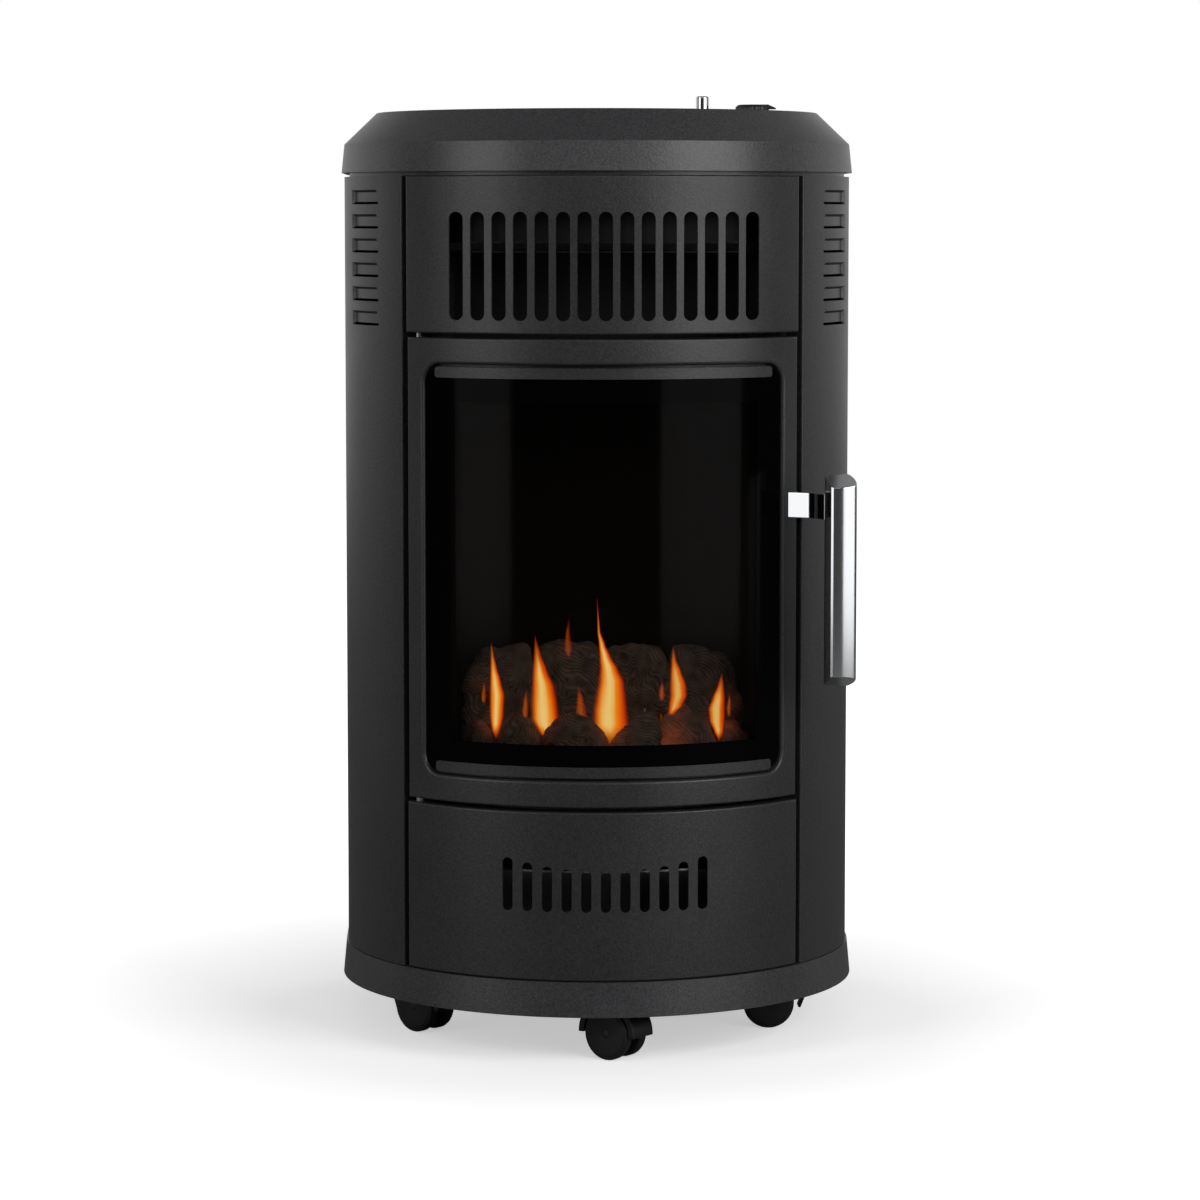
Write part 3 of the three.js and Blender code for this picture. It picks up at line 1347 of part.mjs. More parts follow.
function rearCover() {
  const face = REAR_Y - SHELL_INSET + SEAT_GAP;
  const half = SHELL_R - REAR_FLANGE + COVER_OVERLAP;
  const lipHalf = SHELL_R - REAR_FLANGE - 2 * SEAT_GAP;
  const bottom = LOWER_BOTTOM + COVER_MARGIN;
  const top = UPPER_TOP - COVER_MARGIN;
  const plate = box(-half, half, face, face + SHEET, bottom, top);
  const lip = cut(
    box(-lipHalf, lipHalf, face - COVER_LIP, face + SHEET / 2, bottom, top),
    box(-lipHalf + SHEET, lipHalf - SHEET, face - COVER_LIP - 1, face, bottom + SHEET, top - SHEET),
  );
  const through = (outline) => prism(outline, -face - SHEET - 1, -face + 1, FRONT);
  const vents = [];
  for (let row = 0; row < COVER_VENTS; row++) {
    for (const side of [-1, 1]) {
      const x = side * (COVER_VENT_LENGTH / 2 + COVER_VENT_FROM_MIDDLE);
      const z = bottom + COVER_VENT_FROM_BOTTOM + row * COVER_VENT_PITCH;
      vents.push(through(lyingSlot(x, z, COVER_VENT_LENGTH, COVER_VENT_WIDTH)));
    }
  }
  const grip = through(lyingSlot(0, top - COVER_GRIP_FROM_TOP, COVER_GRIP_LENGTH, COVER_GRIP_WIDTH));
  return cut(join(plate, lip), vents, grip);
}

// ---------------------------------------------------------------- castors

// A castor is drawn with its stem on the axis and its wheels trailing towards +X, then turned.
function placed(body, { x, y, heading }) {
  return solid(geometryOf(body).rotateZ(rad(heading)).translate(x, y, 0));
}

// Part of a ring about the axle, in the plane of the wheels, measured from straight back.
function hoodArc(inner, outer, from, to) {
  const point = (radius, degrees) =>
    new THREE.Vector2(
      TRAIL + radius * Math.cos(rad(degrees)),
      WHEEL_RADIUS + radius * Math.sin(rad(degrees)),
    );
  const turns = Array.from({ length: 9 }, (_, i) => from + ((to - from) * i) / 8);
  const rim = turns.map((degrees) => point(outer, degrees));
  return inner ? [...rim, ...turns.map((degrees) => point(inner, degrees)).reverse()] : rim;
}

function castorHood(castor) {
  const far = castor.brake ? 165 : 182;
  const web = prism(hoodArc(0, HOOD_OUTER - 1, -4, far), -HOOD_WEB, HOOD_WEB, FRONT);
  const guard = prism(hoodArc(HOOD_INNER, HOOD_OUTER, -2, far), -HOOD_HALF_WIDTH, HOOD_HALF_WIDTH, FRONT);
  const stemTop = SEAT_Z - SHEET - STEM_TOP_GAP;
  const socketBottom = RIM_TOP - SHEET - SOCKET_DROP;
  const stem = turned(0, 0, [
    [0, WHEEL_RADIUS + HOOD_INNER - 0.5],
    [BOSS_RADIUS, WHEEL_RADIUS + HOOD_INNER - 0.5],
    [BOSS_RADIUS, socketBottom - SEAT_GAP],
    [STEM_RADIUS, socketBottom - SEAT_GAP],
    [STEM_RADIUS, stemTop],
    [0, stemTop],
  ], 16);
  const bore = rod(
    [TRAIL, -HOOD_HALF_WIDTH, WHEEL_RADIUS],
    [TRAIL, HOOD_HALF_WIDTH, WHEEL_RADIUS],
    AXLE_RADIUS + AXLE_CLEARANCE,
    16,
  );
  const hub = rod([TRAIL, -HOOD_WEB, WHEEL_RADIUS], [TRAIL, HOOD_WEB, WHEEL_RADIUS], AXLE_RADIUS + 5, 16);
  const parts = [web, guard, hub, stem];
  if (castor.brake) parts.push(brakeLug());
  return placed(cut(join(parts), bore), castor);
}

function brakeLug() {
  const face = TRAIL - BRAKE_REACH + SEAT_GAP;
  return box(face, face + 5, -BRAKE_HALF_WIDTH, BRAKE_HALF_WIDTH, BRAKE_TOP - BRAKE_SHEET, BRAKE_TOP);
}

// The brake lever hangs from the end of the hood, and its toe swings in towards the tread.
function brakeLever(castor) {
  const outline = [
    [BRAKE_REACH, BRAKE_TOP],
    [BRAKE_REACH + BRAKE_SHEET, BRAKE_TOP],
    [BRAKE_REACH + BRAKE_SHEET, BRAKE_KNEE - 1],
    [BRAKE_REACH - BRAKE_TOE_IN + BRAKE_SHEET, BRAKE_TOE],
    [BRAKE_REACH - BRAKE_TOE_IN, BRAKE_TOE + 0.7],
    [BRAKE_REACH, BRAKE_KNEE],
  ].map(([reach, height]) => new THREE.Vector2(TRAIL - reach, height));
  return placed(prism(outline, -BRAKE_HALF_WIDTH, BRAKE_HALF_WIDTH, FRONT), castor);
}

// Two wheels with rounded shoulders and a raised hub disc, on one axle.
function castorWheels(castor) {
  const outer = WHEEL_INNER + WHEEL_WIDTH;
  const half = [
    [WHEEL_INNER, AXLE_RADIUS],
    [WHEEL_INNER, WHEEL_RADIUS],
    [outer - 2, WHEEL_RADIUS],
    [outer, WHEEL_RADIUS - 2.4],
  ];
  const profile = [
    new THREE.Vector2(0, -outer),
    ...half.slice().reverse().map(([along, radius]) => new THREE.Vector2(radius, -along)),
    ...half.map(([along, radius]) => new THREE.Vector2(radius, along)),
    new THREE.Vector2(0, outer),
  ];
  const geometry = new THREE.LatheGeometry(profile, 20);
  return placed(solid(geometry.translate(TRAIL, 0, WHEEL_RADIUS)), castor);
}

// ---------------------------------------------------------------- finishes

const finish = (color, roughness, metalness, extra = {}) =>
  new THREE.MeshStandardMaterial({ color, roughness, metalness, ...extra });

const powderCoat = finish("#3a3a3b", 0.55, 0.1);
const chrome = finish("#d8dadc", 0.12, 1);
const blackPlastic = finish("#161616", 0.5, 0);
const darkSteel = finish("#1c1b1a", 0.6, 0.6);
const zincSteel = finish("#a9abad", 0.35, 1);
const brass = finish("#b79a55", 0.35, 1);
const aluminiumTube = finish("#c2c4c6", 0.35, 1);
const ceramicCoal = finish("#3f3733", 0.95, 0);
const ceramicWhite = finish("#e8e4da", 0.5, 0);
const ropeGasket = finish("#2c2b29", 0.95, 0);
const tintedGlass = finish("#0c0b0b", 0.05, 0, { transparent: true, opacity: 0.45 });

// ---------------------------------------------------------------- assembly

const heater = new THREE.Group();
heater.name = "portable_gas_cabinet_heater";

function group(name, parent = heater) {
  const made = new THREE.Group();
  made.name = name;
  parent.add(made);
  return made;
}

function fit(parent, name, body, material) {
  const geometry = geometryOf(body).toNonIndexed();
  geometry.computeVertexNormals();
  const mesh = new THREE.Mesh(geometry, material);
  mesh.name = name;
  parent.add(mesh);
}

const cabinet = group("cabinet");
const side = sidePanel();
const post = frontPost();
fit(cabinet, "base_pan", basePan(), powderCoat);
fit(cabinet, "side_panel_left", mirrored(side), powderCoat);
fit(cabinet, "side_panel_right", side, powderCoat);
fit(cabinet, "front_post_left", mirrored(post), darkSteel);
fit(cabinet, "front_post_right", post, darkSteel);
fit(cabinet, "top_lid", topLid(), powderCoat);
fit(cabinet, "upper_grille_panel", upperGrillePanel(), powderCoat);
fit(cabinet, "lower_front_panel", lowerFrontPanel(), powderCoat);
fit(cabinet, "bulkhead", bulkhead(), zincSteel);
fit(cabinet, "hot_air_baffle", hotAirBaffle(), darkSteel);
fit(cabinet, "lower_shelf", lowerShelf(), zincSteel);
fit(cabinet, "hinge_bracket_top", hingeBracket(1), darkSteel);
fit(cabinet, "hinge_bracket_bottom", hingeBracket(-1), darkSteel);
fit(cabinet, "magnet_catch", magnetCatch(), blackPlastic);

const fire = group("fire", cabinet);
fit(fire, "firebox", firebox(), darkSteel);
fit(fire, "burner_tray", burnerTray(), darkSteel);
fit(fire, "burner_tube", burnerTube(), zincSteel);
fit(fire, "pilot_burner", pilotBurner(), brass);
fit(fire, "spark_electrode", probe(-1, 3, 0.9), ceramicWhite);
fit(fire, "thermocouple", probe(1, 2.4, 1.4), zincSteel);
fit(fire, "rear_coals", rearCoals(), ceramicCoal);
FRONT_COALS.forEach((coal, i) => {
  fit(fire, `front_coal_${i + 1}`, frontCoal(coal, i), ceramicCoal);
});

const gasTrain = group("gas_train", cabinet);
fit(gasTrain, "control_bracket", controlBracket(), zincSteel);
fit(gasTrain, "gas_valve", gasValve(), brass);
fit(gasTrain, "hose_tail", hoseTail(), brass);
fit(gasTrain, "burner_feed_pipe", burnerFeedPipe(), aluminiumTube);
fit(gasTrain, "pilot_feed_pipe", pilotFeedPipe(), aluminiumTube);
fit(gasTrain, "piezo_igniter", piezoIgniter(), blackPlastic);
fit(gasTrain, "knob_bezel", knobBezel(), darkSteel);

const controls = group("controls");
fit(controls, "valve_push_rod", valvePushRod(), zincSteel);
fit(controls, "control_knob", controlKnob(), blackPlastic);
fit(controls, "igniter_button", igniterButton(), chrome);

const door = group("door");
fit(door, "door_frame", doorFrame(), powderCoat);
fit(door, "door_glass", doorGlass(), tintedGlass);
fit(door, "glass_gasket", glassGasket(), ropeGasket);
fit(door, "glass_retainer_top", glassRetainer(1), powderCoat);
fit(door, "glass_retainer_bottom", glassRetainer(-1), powderCoat);
fit(door, "handle_bracket", handleBracket(), chrome);
fit(door, "handle_bar", handleBar(), chrome);
fit(door, "hinge_pin_top", hingePinTop(), zincSteel);
fit(door, "hinge_pin_bottom", hingePinBottom(), zincSteel);
fit(door, "catch_strike", catchStrike(), zincSteel);

fit(group("rear"), "rear_cover", rearCover(), powderCoat);

for (const castor of CASTORS) {
  const set = group(`castor_${castor.name}`);
  fit(set, `castor_hood_${castor.name}`, castorHood(castor), blackPlastic);
  fit(set, `castor_wheels_${castor.name}`, castorWheels(castor), blackPlastic);
  if (castor.brake) fit(set, `castor_brake_${castor.name}`, brakeLever(castor), blackPlastic);
}

export default heater;
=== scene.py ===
"""Looks of a portable gas cabinet heater: powder-coated sheet steel, dark glass, coals and chrome.

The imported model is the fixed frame. The pieces below stand for its nodes where a photograph sees them,
or give it a finish. Lengths are in metres, +Z is up, the front faces -Y.
"""

from __future__ import annotations

import json
import logging
import math
from dataclasses import dataclass
from enum import Enum
from typing import Any, Callable, Iterable, Sequence

import bmesh
import bpy
from mathutils import Matrix, Vector, noise


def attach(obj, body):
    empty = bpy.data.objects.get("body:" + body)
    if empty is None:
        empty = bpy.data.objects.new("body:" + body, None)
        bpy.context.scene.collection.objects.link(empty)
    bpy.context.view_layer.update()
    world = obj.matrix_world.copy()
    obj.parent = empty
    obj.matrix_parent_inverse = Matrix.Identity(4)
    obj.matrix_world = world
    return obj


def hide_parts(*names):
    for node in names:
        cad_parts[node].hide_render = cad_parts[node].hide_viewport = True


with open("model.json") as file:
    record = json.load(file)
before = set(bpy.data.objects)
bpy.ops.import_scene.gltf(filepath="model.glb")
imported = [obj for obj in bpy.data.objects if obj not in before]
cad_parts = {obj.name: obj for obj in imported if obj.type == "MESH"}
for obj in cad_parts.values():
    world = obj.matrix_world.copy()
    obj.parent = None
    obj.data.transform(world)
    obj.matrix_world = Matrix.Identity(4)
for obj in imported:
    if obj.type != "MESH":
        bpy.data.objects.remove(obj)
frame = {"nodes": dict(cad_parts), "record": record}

log = logging.getLogger("heater")

MM = 0.001
WHITE = (1.0, 1.0, 1.0, 1.0)

# Points this close are merged, and points this close to a line lie on it, in metres.
MERGE = 1e-6
NEAR = 1e-5
# How far from the line between two strips a point may be, as a share of a strip.
ON_LINE = 1e-3

# Facets in the quarter turn of a rolled edge, in a plate's round corner and in a slot's round end.
ROLL_STEPS = 4
CORNER_STEPS = 8
END_STEPS = 12

# A wave texture of scale 1 turns by this many radians in a metre.
WAVE_RADIANS = 20

Point = tuple[float, float]
Box = tuple[float, float, float, float]
Outward = Callable[[float, float], Point]


class Body(str, Enum):
    """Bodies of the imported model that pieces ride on."""

    CABINET = "cabinet"
    DOOR = "door"
    KNOB = "control_knob"
    BUTTON = "igniter_button"
    REAR = "rear_cover"


class Slot(str, Enum):
    """Material slots of the record."""

    POWDER_COAT = "powder_coat"
    DARK_STEEL = "dark_steel"
    ZINC_STEEL = "zinc_steel"
    CHROME = "chrome"
    BLACK_PLASTIC = "black_plastic"
    TYRE = "black_rubber_tyre"
    GLASS = "tinted_glass"
    GASKET = "rope_gasket"
    COAL = "ceramic_coal"
    WHITE_CERAMIC = "white_ceramic"
    BRASS = "brass"
    ALUMINIUM = "aluminium_tube"


# -------------------- sizes


@dataclass(frozen=True)
class CabinetSize:
    """The cabinet's plan and the heights that its pieces meet at."""

    width: float = 420 * MM
    depth: float = 390 * MM
    shell_inset: float = 2.4 * MM
    sheet: float = 1.5 * MM
    rear_corner: float = 15 * MM
    rim_bottom: float = 42 * MM
    rim_top: float = 66.6 * MM
    seat: float = 68.2 * MM
    seat_inset: float = 6 * MM
    panel_bottom: float = 68.5 * MM
    lower_top: float = 202.6 * MM
    door_bottom: float = 206.1 * MM
    door_top: float = 573.1 * MM
    upper_bottom: float = 576.6 * MM
    panel_top: float = 700.1 * MM
    lid_seat: float = 700.4 * MM
    lid_bottom: float = 703.4 * MM
    lid_shoulder: float = 726.6 * MM
    lid_top: float = 752 * MM
    lid_chamfer: float = 29 * MM
    return_depth: float = 15.6 * MM
    panel_angle: float = 48.7
    door_angle: float = 48.3
    column_angle: float = 50.1

    @property
    def radius(self) -> float:
        """Radius of the rim's bowed front."""
        return self.width / 2

    @property
    def shell_radius(self) -> float:
        """Radius of the panels' outer face."""
        return self.radius - self.shell_inset

    @property
    def centre_y(self) -> float:
        """Where the bowed front's centre is."""
        return self.radius - self.depth / 2


SIZE = CabinetSize()


def arc(middle: Point, radius: float, start: float, sweep: float, steps: int) -> list[Point]:
    """Points along an arc.

    Args:
        middle: The arc's centre.
        radius: Its radius.
        start: Angle of the first point, in degrees.
        sweep: Degrees from the first point to the last.
        steps: Number of facets.

    Returns:
        The points, both ends among them.
    """
    angles = (math.radians(start + sweep * i / steps) for i in range(steps + 1))
    return [(middle[0] + radius * math.cos(a), middle[1] + radius * math.sin(a)) for a in angles]


def smooth(share: float) -> float:
    """Eases a share from 0 to 1 at both of its ends."""
    return share * share * (3 - 2 * share)


class Plan:
    """The cabinet's outline in plan, as a way round it and as closed rings."""

    # A facet of the bowed front in degrees, and the facets of a rear corner.
    bow_step: float = 1.5
    corner_steps: int = 8
    least_bend: float = 3 * MM

    def __init__(self, size: CabinetSize) -> None:
        """Works out the stretches of the way round one side."""
        self.size = size
        self.quarter = size.radius * math.pi / 2
        self.straight = size.depth / 2 - size.rear_corner - size.centre_y
        self.corner = size.rear_corner * math.pi / 2
        self.strip = self.along(self.bow_step)

    def along(self, degrees: float) -> float:
        """Way along the rim, in metres, of an angle of the bowed front."""
        return self.size.radius * math.radians(degrees)

    def across(self, x: float) -> float:
        """Way along the rim of a point of the shell at that distance across."""
        return self.along(math.degrees(math.asin(x / self.size.shell_radius)))

    def place(self, way: float, inset: float) -> Point:
        """Finds a place on the outline.

        Args:
            way: Way along the rim from the middle of the front, to the right if positive.
            inset: How far the outline is drawn in.

        Returns:
            The place in plan.
        """
        size = self.size
        side = math.copysign(1.0, way)
        rest = abs(way)
        if rest <= self.quarter:
            angle = rest / size.radius
            reach = size.radius - inset
            return side * reach * math.sin(angle), size.centre_y - reach * math.cos(angle)
        rest -= self.quarter
        if rest <= self.straight:
            return side * (size.radius - inset), size.centre_y + rest
        rest -= self.straight
        if rest <= self.corner:
            angle = rest / size.rear_corner
            reach = size.rear_corner - inset
            x = size.radius - size.rear_corner + reach * math.cos(angle)
            return side * x, size.depth / 2 - size.rear_corner + reach * math.sin(angle)
        rest -= self.corner
        return side * (size.radius - size.rear_corner - rest), size.depth / 2 - inset

    def ring(self, inset: float) -> list[Point]:
        """Draws the whole outline.

        Args:
            inset: How far it is drawn in.

        Returns:
            A closed outline, with the same number of points at each inset.
        """
        size = self.size
        reach = size.radius - inset
        bend = max(size.rear_corner - inset, self.least_bend)
        bow = (math.radians(-90 + self.bow_step * i) for i in range(round(180 / self.bow_step) + 1))
        points = [(reach * math.sin(a), size.centre_y - reach * math.cos(a)) for a in bow]
        for side, start in ((1, 0), (-1, 90)):
            middle = (side * (reach - bend), size.depth / 2 - inset - bend)
            points += arc(middle, bend, start, 90, self.corner_steps)
        return points


PLAN = Plan(SIZE)


# -------------------- materials


def linear(colour: str) -> tuple[float, float, float, float]:
    """Turns a colour into the values that shaders read, by the sRGB curve.

    Args:
        colour: An sRGB hex colour.

    Returns:
        Its linear red, green and blue, and a full alpha.
    """
    channels = [int(colour[i : i + 2], 16) / 255 for i in (1, 3, 5)]
    red, green, blue = (
        c / 12.92 if c <= 0.04045 else ((c + 0.055) / 1.055) ** 2.4 for c in channels
    )
    return red, green, blue, 1.0


class Nodes:
    """Adds nodes to one tree."""

    def __init__(self, tree: bpy.types.NodeTree) -> None:
        """Takes a tree and empties it."""
        self.tree = tree
        tree.nodes.clear()

    def node(
        self, kind: str, settings: dict[str, Any] | None = None, stops: Sequence[tuple[float, str]] = (),
        **inputs: Any,
    ) -> Any:
        """Adds a node with its settings and links.

        Args:
            kind: The node's type.
            settings: Its properties, by name.
            stops: Places and hex colours of a colour ramp.
            **inputs: A value, or a socket to link, for each input. i0 is the first input, and an
                underscore in a name stands for a space.

        Returns:
            The node.
        """
        made = self.tree.nodes.new(kind)
        for name, value in (settings or {}).items():
            setattr(made, name, value)
        if stops:
            elements = made.color_ramp.elements
            while len(elements) < len(stops):
                elements.new(0.5)
            for element, (position, colour) in zip(elements, stops, strict=True):
                element.position = position
                element.color = linear(colour)
        for name, value in inputs.items():
            key = int(name[1:]) if name[0] == "i" and name[1:].isdigit() else name.replace("_", " ")
            socket = made.inputs[key]
            if isinstance(value, bpy.types.NodeSocket):
                self.tree.links.new(value, socket)
            else:
                socket.default_value = value
        return made


class Shader(Nodes):
    """Builds one material's node tree."""

    def __init__(self, name: str) -> None:
        """Makes a material that has only an output."""
        self.material = bpy.data.materials.new(name)
        self.material.use_nodes = True
        super().__init__(self.material.node_tree)
        self.output = self.node("ShaderNodeOutputMaterial")

    def surface(self, socket: Any) -> bpy.types.Material:
        """Puts a shader on the output and returns the material."""
        self.tree.links.new(socket, self.output.inputs["Surface"])
        return self.material


@dataclass(frozen=True)
class Coating:
    """An opaque finish with a fine grain and slow patches in its colour and gloss."""

    name: str
    colour: str
    patch: str
    roughness: float
    specular: float = 0.5
    coat: float = 0.0
    coat_roughness: float = 0.1
    grain: float = 0.6 * MM
    grain_height: float = 0.02 * MM
    patches: float = 60 * MM
    gloss_change: float = 0.05
    speckle: float = 0.0

    def build(self) -> bpy.types.Material:
        """Makes the material.

        Returns:
            The material.
        """
        shader = Shader(self.name)
        place = shader.node("ShaderNodeTexCoord").outputs["Object"]
        patch = shader.node("ShaderNodeTexNoise", Vector=place, Scale=1 / self.patches, Detail=3.0)
        grain = shader.node("ShaderNodeTexNoise", Vector=place, Scale=1 / self.grain, Detail=2.0)
        colour = shader.node(
            "ShaderNodeValToRGB", stops=[(0.3, self.colour), (0.75, self.patch)],
            Fac=patch.outputs["Fac"],
        )
        level = shader.node(
            "ShaderNodeMapRange", Value=grain.outputs["Fac"], From_Min=0.3, From_Max=0.7,
            To_Min=1 - self.speckle, To_Max=1 + self.speckle,
        )
        speckled = shader.node(
            "ShaderNodeVectorMath", {"operation": "SCALE"}, i0=colour.outputs["Color"],
            Scale=level.outputs["Result"],
        )
        gloss = shader.node(
            "ShaderNodeMapRange", Value=patch.outputs["Fac"], To_Min=self.roughness - self.gloss_change,
            To_Max=self.roughness + self.gloss_change,
        )
        bump = shader.node(
            "ShaderNodeBump", Height=grain.outputs["Fac"], Strength=1.0, Distance=self.grain_height
        )
        made = shader.node(
            "ShaderNodeBsdfPrincipled", Base_Color=speckled.outputs["Vector"],
            Roughness=gloss.outputs["Result"], Specular_IOR_Level=self.specular, Coat_Weight=self.coat,
            Coat_Roughness=self.coat_roughness, Normal=bump.outputs["Normal"],
        )
        return shader.surface(made.outputs["BSDF"])


@dataclass(frozen=True)
class BrushedMetal:
    """A metal with faint drawn lines along one axis."""

    name: str
    colour: str
    roughness: float
    smoothest: float = 0.8
    roughest: float = 1.25
    stretch: tuple[float, float, float] = (1.0, 1.0, 0.04)
    line: float = 0.5 * MM
    depth: float = 0.004 * MM

    def build(self) -> bpy.types.Material:
        """Makes the material.

        Returns:
            The material.
        """
        shader = Shader(self.name)
        flat = shader.node("ShaderNodeTexCoord").outputs["Object"]
        place = shader.node("ShaderNodeMapping", Vector=flat, Scale=self.stretch)
        lines = shader.node(
            "ShaderNodeTexNoise", Vector=place.outputs["Vector"], Scale=1 / self.line, Detail=2.0
        )
        gloss = shader.node(
            "ShaderNodeMapRange", Value=lines.outputs["Fac"], To_Min=self.roughness * self.smoothest,
            To_Max=self.roughness * self.roughest,
        )
        bump = shader.node(
            "ShaderNodeBump", Height=lines.outputs["Fac"], Strength=1.0, Distance=self.depth
        )
        made = shader.node(
            "ShaderNodeBsdfPrincipled", Base_Color=linear(self.colour), Roughness=gloss.outputs["Result"],
            Metallic=1.0, Normal=bump.outputs["Normal"],
        )
        return shader.surface(made.outputs["BSDF"])


@dataclass(frozen=True)
class DarkGlass:
    """Heat-resistant glass: a smoked clear window inside a black printed border."""

    name: str
    tint: str = "#cec8c3"
    border: str = "#040404"
    index: float = 1.115
    roughness: float = 0.11
    half_width: float = 120.5 * MM
    bottom: float = 254.7 * MM
    top: float = 523 * MM

    def build(self) -> bpy.types.Material:
        """Makes the material.

        Returns:
            The material.
        """
        shader = Shader(self.name)
        flat = shader.node("ShaderNodeTexCoord").outputs["Object"]
        place = shader.node("ShaderNodeSeparateXYZ", Vector=flat)
        side = shader.node("ShaderNodeMath", {"operation": "ABSOLUTE"}, i0=place.outputs["X"])
        clear: Any = 1.0
        for operation, value, limit in (
            ("LESS_THAN", side.outputs[0], self.half_width),
            ("GREATER_THAN", place.outputs["Z"], self.bottom),
            ("LESS_THAN", place.outputs["Z"], self.top),
        ):
            test = shader.node("ShaderNodeMath", {"operation": operation}, i0=value, i1=limit)
            both = {"operation": "MULTIPLY"}
            clear = shader.node("ShaderNodeMath", both, i0=test.outputs[0], i1=clear).outputs[0]
        printed = shader.node("ShaderNodeBsdfDiffuse", Color=linear(self.border))
        smoked = shader.node("ShaderNodeBsdfTransparent", Color=linear(self.tint))
        under = shader.node(
            "ShaderNodeMixShader", i0=clear, i1=printed.outputs[0], i2=smoked.outputs[0]
        )
        gloss = shader.node("ShaderNodeBsdfGlossy", Color=WHITE, Roughness=self.roughness)
        edge = shader.node("ShaderNodeFresnel", IOR=self.index)
        made = shader.node(
            "ShaderNodeMixShader", i0=edge.outputs[0], i1=under.outputs[0], i2=gloss.outputs[0]
        )
        return shader.surface(made.outputs[0])


@dataclass(frozen=True)
class CoalCeramic:
    """Fired ceramic with fine swirled lines like charred wood, and the flames' light painted on as a glow.
    """

    name: str
    char: str = "#453f3b"
    body: str = "#736c66"
    ash: str = "#948c85"
    line: float = 2.3 * MM
    line_share: float = 0.45
    swirl: float = 34 * MM
    swirl_reach: float = 50 * MM
    pit: float = 2.0 * MM
    pit_share: float = 0.8
    patch: float = 8 * MM
    roughness: float = 0.9
    relief: float = 0.7 * MM
    relief_share: float = 0.45

    def build(self) -> bpy.types.Material:
        """Makes the material.

        Returns:
            The material.
        """
        shader = Shader(self.name)
        place = shader.node("ShaderNodeTexCoord").outputs["Object"]
        swirl = shader.node("ShaderNodeTexNoise", Vector=place, Scale=1 / self.swirl, Detail=1.5)
        bent = shader.node(
            "ShaderNodeVectorMath", {"operation": "MULTIPLY_ADD"}, i0=swirl.outputs["Color"],
            i1=(self.swirl_reach,) * 3, i2=place,
        )
        lines = shader.node(
            "ShaderNodeTexWave", {"wave_type": "BANDS", "bands_direction": "DIAGONAL"},
            Vector=bent.outputs["Vector"], Scale=math.tau / (WAVE_RADIANS * self.line), Distortion=1.3,
            Detail=3.0, Detail_Scale=1.0,
        )
        pits = shader.node("ShaderNodeTexNoise", Vector=place, Scale=1 / self.pit, Detail=3.0)
        patches = shader.node("ShaderNodeTexNoise", Vector=place, Scale=1 / self.patch, Detail=2.0)
        faded = shader.node(
            "ShaderNodeMath", {"operation": "MULTIPLY_ADD"}, i0=lines.outputs["Fac"], i1=self.line_share,
            i2=patches.outputs["Fac"],
        )
        colour = shader.node(
            "ShaderNodeValToRGB",
            stops=[(0.35, self.char), (0.6, self.body), (0.8, self.body), (1.0, self.ash)],
            Fac=faded.outputs[0],
        )
        height = shader.node(
            "ShaderNodeMath", {"operation": "MULTIPLY_ADD"}, i0=pits.outputs["Fac"], i1=self.pit_share,
            i2=lines.outputs["Fac"],
        )
        bump = shader.node(
            "ShaderNodeBump", Height=height.outputs[0], Strength=self.relief_share, Distance=self.relief
        )
        # The glow attribute is painted light, shown as emission: the flames' light on the coals and a red
        # glow painted on one coal.
        glow = shader.node("ShaderNodeAttribute", {"attribute_name": "glow"})
        made = shader.node(
            "ShaderNodeBsdfPrincipled", Base_Color=colour.outputs["Color"], Roughness=self.roughness,
            Normal=bump.outputs["Normal"], Emission_Color=glow.outputs["Color"], Emission_Strength=1.0,
        )
        return shader.surface(made.outputs["BSDF"])


@dataclass(frozen=True)
class FlameGlow:
    """A gas flame: near white in its core, orange and clear towards its edge, dark red at its foot."""

    name: str
    strength: float = 2.0
    colours: tuple[tuple[float, str], ...] = (
        (0.0, "#5c0e02"), (0.25, "#c02f05"), (0.5, "#ee6008"), (0.72, "#ff9c22"), (1.0, "#ffe48c"),
    )

    def build(self) -> bpy.types.Material:
        """Makes the material.

        Returns:
            The material.
        """
        shader = Shader(self.name)
        layer = shader.node("ShaderNodeAttribute", {"attribute_name": "tongue"})
        flame = shader.node("ShaderNodeSeparateColor", Color=layer.outputs["Color"])
        colour = shader.node("ShaderNodeValToRGB", stops=self.colours, Fac=flame.outputs["Red"])
        glow = shader.node(
            "ShaderNodeEmission", Color=colour.outputs["Color"], Strength=self.strength
        )
        clear = shader.node("ShaderNodeBsdfTransparent")
        made = shader.node(
            "ShaderNodeMixShader", i0=flame.outputs["Green"], i1=clear.outputs[0], i2=glow.outputs[0]
        )
        return shader.surface(made.outputs[0])


